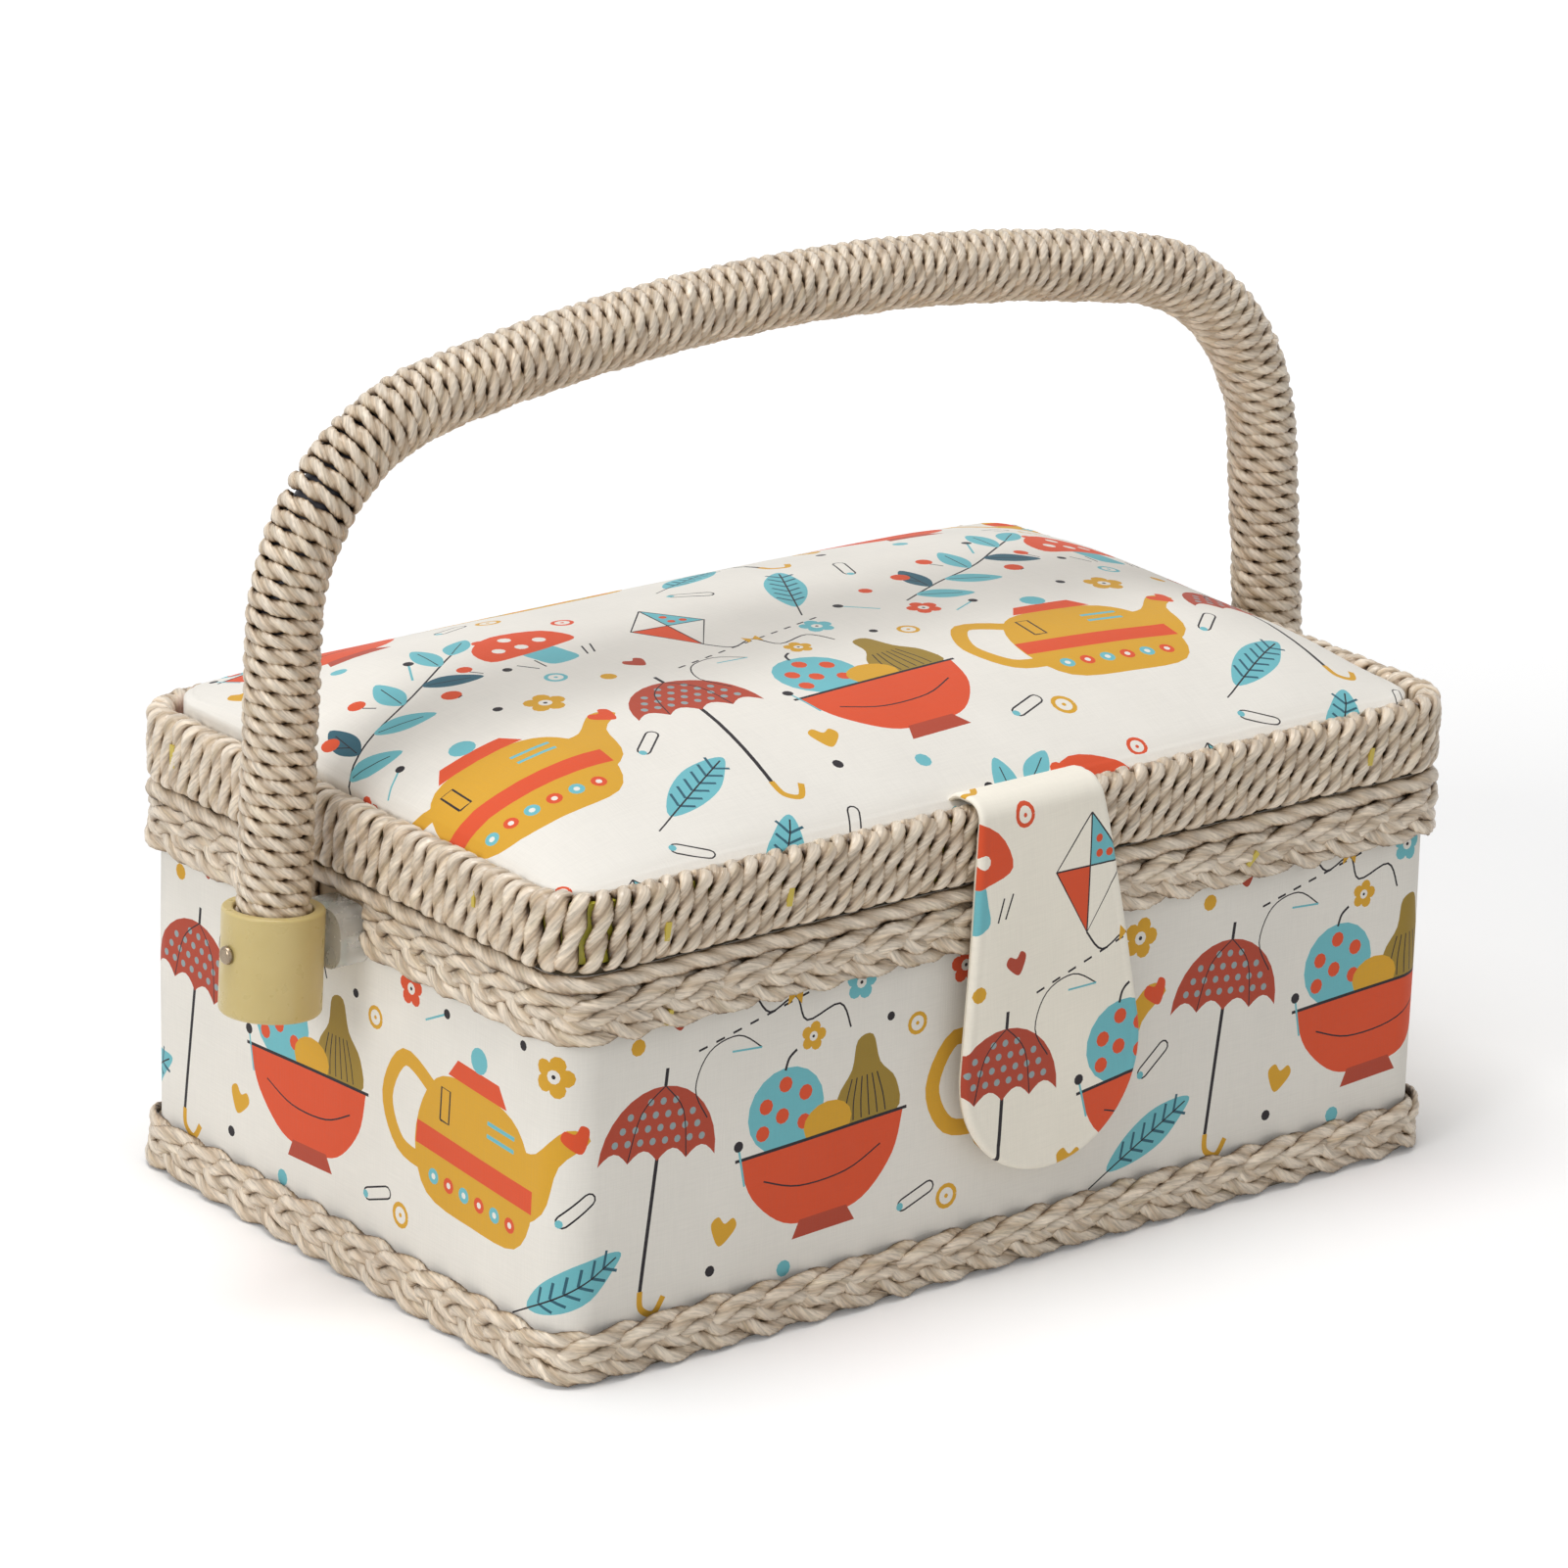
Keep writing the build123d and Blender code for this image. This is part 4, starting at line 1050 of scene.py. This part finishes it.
def grid_ties(low, high, step):
    """Straight lines both ways over an area."""
    xs = np.arange(low[0], high[0] + step, step)
    ys = np.arange(low[1], high[1] + step, step)
    return [[(x, low[1]), (x, high[1])] for x in xs] + [[(low[0], y), (high[0], y)] for y in ys]


def ripple(flat, depth, u, v):
    """Slight waves over a cloth; u and v are their lengths both ways, over tau."""
    return depth * np.sin(flat[:, 0] / u) * np.sin(flat[:, 1] / v)


# ---- cotton on the walls
COVER_T = 0.7
# below and above these heights on it, the cloth behind the trims carries painted shade, which shows
# in the gaps between them
UNDER_LOWER, UNDER_UPPER = 9.0, 73.0
WALL_LINING_T = 0.8
SUNK = 0.02      # how far the cloth's face lies below the cover's, on average
LINING_CORNER_R = 3.0
SEAM_GAP = 0.05


def band_cut(loop, height, corner_step, first, step, heights, shift=None):
    """Flat cloth that goes once round a loop, with ties where it bends."""
    end = loop.length
    outline = np.array([(SEAM_GAP, 0), (end - SEAM_GAP, 0), (end - SEAM_GAP, height),
                        (SEAM_GAP, height)])
    bends = [s for c in range(4) for s in loop.corner(c)[::corner_step]]
    ties = [[(s, -1), (s, height + 1)] for s in [*bends, *np.arange(first, end, step)]]
    ties += [[(0.01, v), (end - 0.01, v)] for v in heights]
    return cut_cloth(outline, ties, shift)


def on_loop(loop, low_z, flat, out):
    """Places flat cloth round a loop, at distances out from it."""
    point, normal = loop.at(flat[:, 0])
    point = point + normal * out[:, None]
    point[:, 2] = low_z + flat[:, 1]
    return point


def wall_cloth():
    height = cover_high[2] - cover_low[2]
    flat, triangles, inks = band_cut(cover_loop, height, 3, 8, 9,
                                     [*range(11, 78, 11), UNDER_LOWER, UNDER_UPPER], (52.0, 10.0))
    middle = flat[np.array(triangles)].mean(axis=1)[:, 1]
    # painted shade on the cloth behind the trims, seen in the gaps between them
    inks[(middle < UNDER_LOWER) | (middle > UNDER_UPPER)] = INKS["trim_gap_shade"]

    def place(points):
        return on_loop(cover_loop, cover_low[2], points,
                       ripple(points, 0.12, 41 / tau, 63 / tau) - SUNK)

    cloth = sheet_piece("box_cloth", (flat, triangles, inks), place, COVER_T, M_PRINT)
    fit(cloth, "root", "printed_cotton", "box_cover")


def wall_lining():
    """Plain cotton glued round the inside of the walls."""
    low, high = box_mm("wall_lining")
    loop = Loop(high[0] * 2, high[1] * 2, LINING_CORNER_R)
    height = high[2] - low[2]

    def place(points):
        return on_loop(loop, low[2], points, ripple(points, 0.06, 5.3, 9.1) - 0.06)

    cut = band_cut(loop, height, 5, 6, 6, np.arange(6, height, 7.0))
    cloth = sheet_piece("wall_cloth_inside", cut, place, 0.1 - WALL_LINING_T, M_PLAIN)
    fit(cloth, "root", "plain_cotton", "wall_lining")


wall_cloth()

# ---- padded lid
pad_low, pad_high = box_mm("lid_cover")
PAD_HALF = pad_high[:2]
PAD_CORNER_R = 11.0
PAD_EDGE_Z = 101.8
PAD_BACK_RISE = 2.8
PAD_CROWN_Z = 117.6
PAD_FALL = np.array([35.0, 40.0])
PAD_ROLL = (5.0, 2.5)      # width of the rounded edge at the front, and how much less at the back
PAD_SAG = 2.0
PAD_ROUND, PAD_ROUND_FRONT = 1.75, 1.5
PAD_CORE = PAD_HALF - PAD_CORNER_R
PAD_FOOT_Z = pad_low[2] + 0.1
PAD_SIDE = PAD_EDGE_Z - PAD_FOOT_Z
PAD_ROWS = 80
# lengths of cloth inside the pad's edge, close together where it rolls over
PAD_TIES = np.array([4.6, 3.4, 2.4, 1.6, 0.9, 0.4, 0.0, -5.0])


def eased(value, round_=2.0):
    """Rises steeply from nought and is level at one; round is 2 for a quarter of an ellipse."""
    return (1 - (1 - np.clip(value, 0, 1)) ** round_) ** (1 / round_)


def smooth(value):
    value = np.clip(value, 0, 1)
    return value * value * (3 - 2 * value)


def pad_dome(out, reach):
    """Height of the dome at points seen from above; reach is how far they are past the core."""
    inwards = (PAD_HALF - abs(out)) / PAD_FALL
    # the front edge is drawn down harder than the others
    front = np.where(out[:, 1] < 0, PAD_ROUND_FRONT, PAD_ROUND)
    back = smooth(out[:, 1] / PAD_HALF[1] + 0.5)
    rise = eased(inwards[:, 0], PAD_ROUND) * eased(inwards[:, 1], front)
    rise = rise * eased((PAD_CORNER_R - reach) / (PAD_ROLL[0] - PAD_ROLL[1] * back))
    edge_z = PAD_EDGE_Z + PAD_BACK_RISE * back
    crown_z = PAD_CROWN_Z - PAD_SAG * ((out / PAD_HALF) ** 2).sum(axis=1)
    return edge_z + (crown_z - edge_z) * rise


# lengths of cloth from the core's edge out to the pad's edge, over the dome
pad_steps = PAD_CORNER_R * (1 - (1 - np.linspace(0, 1, PAD_ROWS)) ** 2)
pad_line = pad_dome(np.column_stack([PAD_CORE[0] + pad_steps, np.zeros(PAD_ROWS)]), pad_steps)
pad_lengths = running(np.hypot(np.diff(pad_steps), np.diff(pad_line)))
PAD_REACH = pad_lengths[-1] + PAD_SIDE


def pad_cut(step, lengths, shift=None, brick=0.0):
    """Flat cloth for the pad, with ties both ways and round it at lengths from its core."""
    half = PAD_CORE + PAD_REACH
    ties = grid_ties(-half, half, step)
    ties += [joined(rounded_outline(PAD_CORE + r, r)) for r in lengths]
    return cut_cloth(rounded_outline(half, PAD_REACH), ties, shift, brick)


def place_pad(flat, inset=0.0):
    """Cloth drawn over the domed pad and down its sides."""
    core = np.clip(flat, -PAD_CORE, PAD_CORE)
    away = flat - core
    length = np.linalg.norm(away, axis=1)
    reach = np.interp(length, pad_lengths, pad_steps)
    direction = away / np.maximum(length, 1e-6)[:, None]
    z = pad_dome(core + direction * reach[:, None], reach) - inset
    down = np.clip((length - pad_lengths[-1]) / PAD_SIDE, 0, 1)
    return np.column_stack([core + direction * (reach - inset).clip(0)[:, None],
                            z + (PAD_FOOT_Z - z) * down])


def underside(triangles):
    """One face that closes a cut along its edge."""
    after = dict(boundary(triangles))
    loop = [next(iter(after))]
    while after[loop[-1]] != loop[0]:
        loop.append(after[loop[-1]])
    return loop[::-1]


FORM_INSET = 0.9
FORM_VOXEL = 5.0
PINNED_BELOW = 8.0
PRESSURE = 4
FRAMES = 20
SWELL_BLUR = 5.0
SWELL_MOST = 1.2
SWELL_FADE = (3.0, 20.0)      # lengths inside the pad's edge between which the swelling fades in


def coordinates(mesh):
    values = np.empty(len(mesh.vertices) * 3)
    mesh.vertices.foreach_get("co", values)
    return values.reshape(-1, 3) / MM


def swollen_pad():
    """How far a cloth simulation blows out the pad's closed form: a grid's lines both ways,
    seen from above, and the lifts on it, which are nought on average."""
    flat, triangles, _ = pad_cut(6.0, [])
    form = piece("pad_form", place_pad(flat, FORM_INSET), [*triangles, underside(triangles)], M_PLAIN)
    bpy.context.view_layer.objects.active = form
    remesh = form.modifiers.new("remesh", "REMESH")
    remesh.mode, remesh.voxel_size = "VOXEL", FORM_VOXEL * MM
    bpy.ops.object.modifier_apply(modifier="remesh")
    start = coordinates(form.data)
    pins = form.vertex_groups.new(name="pins")
    pins.add(np.nonzero(start[:, 2] < pad_low[2] + PINNED_BELOW)[0].tolist(), 1.0, "REPLACE")
    cloth = form.modifiers.new("cloth", "CLOTH")
    cloth.settings.use_pressure = True
    cloth.settings.uniform_pressure_force = PRESSURE
    cloth.settings.vertex_group_mass = "pins"
    cloth.settings.effector_weights.gravity = 0
    cloth.settings.quality = 6
    cloth.point_cache.frame_start, cloth.point_cache.frame_end = 1, FRAMES
    for step in range(1, FRAMES + 1):
        scene.frame_set(step)
    settled = form.evaluated_get(bpy.context.evaluated_depsgraph_get()).to_mesh()
    moved = coordinates(settled) - start
    form.modifiers.clear()
    scene.frame_set(1)
    bpy.data.objects.remove(form)
    top = start[:, 2] > PAD_EDGE_Z + 2
    at, lift = start[top, :2], moved[top, 2]
    xs, ys = (np.linspace(-h, h, int(h) + 1) for h in PAD_HALF)
    lifts = np.zeros((len(xs), len(ys)))
    for i, x in enumerate(xs):
        distance = (at[:, 0] - x) ** 2 + (at[:, 1] - ys[:, None]) ** 2
        near = np.exp(-distance / (2 * SWELL_BLUR ** 2)) + 1e-12
        lifts[i] = (near * lift).sum(axis=1) / near.sum(axis=1)
    return xs, ys, (lifts - lifts.mean()).clip(-SWELL_MOST, SWELL_MOST)


def between(grid, points):
    """Values at points, from those on a grid seen from above."""
    xs, ys, values = grid
    i, j = (np.clip((at - lines[0]) / (lines[1] - lines[0]), 0, len(lines) - 1.001)
            for at, lines in ((points[:, 0], xs), (points[:, 1], ys)))
    low_i, low_j = i.astype(int), j.astype(int)
    a, b = i - low_i, j - low_j
    near, far = ((1 - b) * values[row, low_j] + b * values[row, low_j + 1]
                 for row in (low_i, low_i + 1))
    return (1 - a) * near + a * far


def pad_cloth():
    flat, triangles, inks = pad_cut(5.0, [3.0, 6.0, *(pad_lengths[-1] - PAD_TIES)],
                                    (-128.0, -62.0), 0.5)
    swell = swollen_pad()

    def place(points):
        placed = place_pad(points)
        if swell is not None:
            away = np.linalg.norm(points - np.clip(points, -PAD_CORE, PAD_CORE), axis=1)
            fade = eased((pad_lengths[-1] - SWELL_FADE[0] - away) / SWELL_FADE[1])
            placed[:, 2] += between(swell, placed) * fade
        return placed

    cloth = piece("lid_pad", place(flat), [*triangles, underside(triangles)], M_PRINT,
                  {"flat": level(flat)}, np.vstack([inks, [CLOTH]]), face_normals(place, flat, 0.6))
    fit(cloth, "lid", "printed_cotton", "lid_cover", "lid_foam")


pad_cloth()

# ---- closing tab
TAB_X = -1.0
TAB_TOP_HALF_W = 16.0
TAB_BULB_R = 23.7
TAB_BULB_DROP = 58.5
TAB_LEAN = math.radians(5)
TAB_T = 2.6
TAB_BACK_Y = -78.3
TAB_THINNER = 0.45
TAB_FOLD_R = 3.8
TAB_TOP_Z = 105.9
TAB_INNER = 10.5
TAB_TUCK, TAB_TUCK_FROM = 0.14, 6.0
TAB_SEAM_IN, TAB_SEAM_DEPTH, TAB_SEAM_HALF_W = 2.5, 0.1, 0.7
TAB_EDGE_R = 1.1
TAB_LEAN_OVER, TAB_THINNER_OVER = 10.0, 12.0
TAB_LIFT = 0.3
TAB_SAG, TAB_SAG_AT, TAB_SAG_OVER = 0.32, 30.0, 16.0
TAB_WAVE, TAB_WAVE_OVER = 0.1, 40.0
# painted light: the tab's unprinted ground is lighter than the walls' cloth, for the light the tab
# catches
TAB_GROUND = srgb(252, 246, 232)
TAB_BACKING = srgb(228, 220, 202)


def tab_outline(inset=0.0):
    """Flat tab: across, and down from the fold; its far side runs over the rim."""
    radius, half_w = TAB_BULB_R - inset, TAB_TOP_HALF_W - inset
    reach = math.hypot(half_w, TAB_BULB_DROP)
    slope = math.asin(radius / reach) - math.atan(half_w / TAB_BULB_DROP)
    bulb = (0, -TAB_BULB_DROP) + circle(radius, 40, slope, -tau / 2 - slope)
    right_side = np.vstack([(half_w, TAB_INNER - inset * 0.5),
                            np.linspace((half_w, 0), bulb[0], 12)[:-1]])
    return np.vstack([right_side, bulb, right_side[::-1] * (-1, 1)])[::-1]


def edge_distance(flat):
    """Distance of flat points from the tab's outline."""
    outline = tab_outline()
    best = np.full(len(flat), 1e9)
    for start, end in zip(outline, np.roll(outline, -1, 0)):
        run = end - start
        t = np.clip(((flat - start) @ run) / (run @ run), 0, 1)
        best = np.minimum(best, np.linalg.norm(flat - start - t[:, None] * run, axis=1))
    return best


def place_tab(flat, out):
    """The tab over the rim, round the fold and down, at distances out from its middle sheet."""
    down = -flat[:, 1]
    angle = TAB_LEAN * smooth(down / TAB_LEAN_OVER)
    x = TAB_X + flat[:, 0] * np.cos(angle) + np.maximum(down, 0) * math.sin(TAB_LEAN)
    run = down * np.where(down > 0, math.cos(TAB_LEAN), 1) - flat[:, 0] * np.sin(angle)
    half_arc = TAB_FOLD_R * tau / 8
    turned_by = np.clip((run + half_arc) / TAB_FOLD_R, 0, tau / 4)
    facing_y, facing_z = -np.sin(turned_by), np.cos(turned_by)
    y = TAB_BACK_Y - TAB_T / 2 + TAB_FOLD_R * (1 + facing_y) - np.minimum(run + half_arc, 0)
    top = TAB_TOP_Z - TAB_T / 2 + TAB_LIFT
    z = top - TAB_FOLD_R * (1 - facing_z) - np.maximum(run - half_arc, 0)
    # its inner end goes down between the rim and the pad
    z = z - TAB_TUCK * np.maximum(-TAB_TUCK_FROM - run, 0) ** 2
    # it bellies out a little below the rim, and its round end settles towards the box
    sag = -TAB_SAG * np.exp(-((run - TAB_SAG_AT) / TAB_SAG_OVER) ** 2)
    wave = TAB_WAVE * np.sin(flat[:, 0] / 9 + 1) * np.clip(run / TAB_WAVE_OVER, 0, 1)
    return np.column_stack([x, y - (sag + wave) * facing_y + facing_y * out, z + facing_z * out])


def tab_swell(flat):
    """Half thickness: rounded at the edge, with a groove where it is sewn."""
    d = edge_distance(flat)
    groove = TAB_SEAM_DEPTH * np.exp(-((d - TAB_SEAM_IN) / TAB_SEAM_HALF_W) ** 2)
    # only below the fold are the stiffener and the back inside it
    thinner = 1 - TAB_THINNER * np.clip(flat[:, 1] / TAB_THINNER_OVER + 1, 0, 1)
    return (TAB_T / 2 * eased(d / TAB_EDGE_R) - groove) * thinner


def tab_cloth():
    outline = tab_outline()
    ties = [joined(tab_outline(inset)) for inset in (0.25, 0.7, 1.3, 2.0, TAB_SEAM_IN, 3.0, 4.0)]
    rows = [*np.arange(-4, 4, 0.6), *np.arange(-80, -4, 5), *np.arange(5, 10, 1)]
    ties += [[(-30, v), (30, v)] for v in rows] + [[(u, -84), (u, 16)] for u in (-8, 0, 8)]
    flat, triangles, inks = cut_cloth(outline, ties, (-93.0, -96.0))
    # painted light: the tab's ground takes the lighter colour in place of the cloth's
    inks = np.where((inks == CLOTH).all(1)[:, None], TAB_GROUND, inks)
    colours = np.vstack([inks, np.tile(TAB_BACKING, (len(triangles), 1))])
    swell = tab_swell(flat)
    cloth = padded_piece("tab_cloth", flat, triangles, place_tab(flat, swell),
                         place_tab(flat, -swell), M_PRINT, colours)
    fit(cloth, None, "printed_cotton", "tab_front", "tab_back", "tab_anchor", "tab_stiffener")
    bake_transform(cloth)


tab_cloth()

# ---- cloth inside
LID_LINING_R = 7.4
POCKET_R = 5.0
POCKET_CLOTH_T = 0.5
POCKET_DROP, POCKET_DROP_OVER = 0.5, 6.0
PLEAT, PLEAT_SHARE = 7.5, 0.45      # a pleat's width, and its share of the pocket's drop
QUILT, QUILT_SEAM = 44.0, 0.08
CROWN_ROUND = 1.6


def rounded_cut(half, corner_r, step):
    """Flat cut of a rounded rectangle round the middle, with ties both ways and near the edge."""
    ties = grid_ties(-half, half, step)
    ties += [joined(rounded_outline(half - r, corner_r - r))
             for r in (0.3, 0.9, 1.8, 3.0) if r < corner_r]
    return cut_cloth(rounded_outline(half, corner_r), ties)


def rim_distance(flat, half, corner_r):
    """Distance in from a rounded rectangle's outline."""
    past = abs(flat) - (half - corner_r)
    outside = np.linalg.norm(past.clip(0), axis=1)
    return np.where(past.max(axis=1) > 0, corner_r - outside, corner_r - past.max(axis=1))


def pillow(name, node, corner_r, edge, crown, material, slot, body, upward=True, quilt=0.0):
    """Padded closed form in a node's box: flat on one side, crowned on the other."""
    low, high = box_mm(node)
    half, middle = half_and_middle(low, high)
    flat, triangles, _ = rounded_cut(half, corner_r, 4.0)
    d = rim_distance(flat, half, corner_r)
    rounded, domed = eased(d / edge), eased(d / half.min(), CROWN_ROUND)
    thick = (high[2] - low[2]) * ((1 - crown) * rounded + crown * domed)
    thick = thick - quilt * (abs(ripple(flat, 1, QUILT / tau, QUILT / tau)) < QUILT_SEAM)
    base, sign = (low[2], 1) if upward else (high[2], -1)
    if not upward:
        triangles = [t[::-1] for t in triangles]
    crowned, plain = (np.column_stack([flat + middle, base + sign * thick * share])
                      for share in (1, 0))
    pad = padded_piece(name, flat, triangles, crowned, plain, material)
    fit(pad, body, slot, node)


def lid_cloth():
    """Plain cotton glued to the underside of the lid's board."""
    low, high = box_mm("lid_lining")

    def place(points):
        return np.column_stack([points, low[2] + 0.06 + ripple(points, 0.05, 4.7, 6.3)])

    cloth = sheet_piece("lid_cloth_inside", rounded_cut(high[:2], LID_LINING_R, 5.0), place,
                        low[2] + 0.08 - high[2], M_PLAIN)
    fit(cloth, "lid", "plain_cotton", "lid_lining")


def pocket_cloth():
    """Pocket gathered along its elastic edge, which faces the middle of the lid."""
    low, high = box_mm("lid_pocket")
    half, middle = half_and_middle(low, high)

    def place(points):
        open_edge = np.clip((half[1] - points[:, 1]) / (2 * half[1]), 0, 1) ** 1.6
        bow = np.clip(rim_distance(points, half, POCKET_R) / POCKET_DROP_OVER, 0, 1)
        fold = np.sin(tau * points[:, 0] / PLEAT + 1.5 * np.sin(points[:, 0] / 11))
        drop = POCKET_DROP * bow * (1 - PLEAT_SHARE + PLEAT_SHARE * fold * open_edge)
        return np.column_stack([points + middle, high[2] - POCKET_CLOTH_T - 0.05 - drop])

    cloth = sheet_piece("pocket_cloth", rounded_cut(half, POCKET_R, 1.5), place,
                        -POCKET_CLOTH_T, M_PLAIN)
    fit(cloth, "lid", "plain_cotton", "lid_pocket")


wall_lining()
lid_cloth()
pocket_cloth()
pillow("floor_cushion", "floor_pad", LINING_CORNER_R - 0.8, 2.6, 0.1, M_PLAIN, "plain_cotton",
       "root", quilt=0.25)
pillow("pin_cushion", "pincushion", 6.0, 5.0, 0.45, M_CUSHION, "cushion_cotton", "lid",
       upward=False)

# ---- studio
WHITE = (1.0, 1.0, 1.0, 1.0)
SKY_LIGHT = 0.42
FLOOR_HALF = 9000.0


def sky():
    """Soft light all round, and plain white where it is seen."""
    scene.world = bpy.data.worlds.new("studio")
    graph = Graph(scene.world)
    lit = graph.tree.nodes["Background"]
    graph.set(lit, {"Color": WHITE, "Strength": SKY_LIGHT})
    seen = graph.add("Background", {"Color": WHITE})
    mixed = graph.add("MixShader", {0: graph.seen(), 1: lit.outputs[0], 2: seen})
    graph.set(graph.tree.nodes["World Output"], {"Surface": mixed})


def lamp(name, place, aim, size, power):
    data = bpy.data.lights.new(name, "AREA")
    data.shape, data.size, data.energy = "DISK", size, power
    obj = add_object(name, data)
    obj.location = place
    obj.rotation_euler = (Vector(aim) - Vector(place)).to_track_quat("-Z", "Y").to_euler()


def floor_surface():
    s = Surface("floor", Roughness=0.9, Specular_IOR_Level=0.0, Emission_Color=WHITE)
    seen = s.seen()
    # far from the object the lamps fade, and its own light keeps the floor white there
    away = s.add("VectorMath", {0: s.place()}, 1, operation="LENGTH")
    return s.finish(Base_Color=s.blend(seen, srgb(236, 235, 232), WHITE),
                    Emission_Strength=s.maths("MULTIPLY", seen, s.remap(away, 0.1, 0.7, 300, 1500)))


sky()
lamp("side", (-1.9, -0.35, 0.9), (0, 0, 0.08), 0.9, 11)
lamp("top", (-0.3, 0.1, 2.0), (0, 0, 0.1), 1.1, 19)
floor = piece("floor", [(x * FLOOR_HALF, y * FLOOR_HALF, -0.05) for x, y in QUARTERS],
              [[0, 1, 2, 3]], floor_surface())
scene.view_settings.view_transform = "Standard"
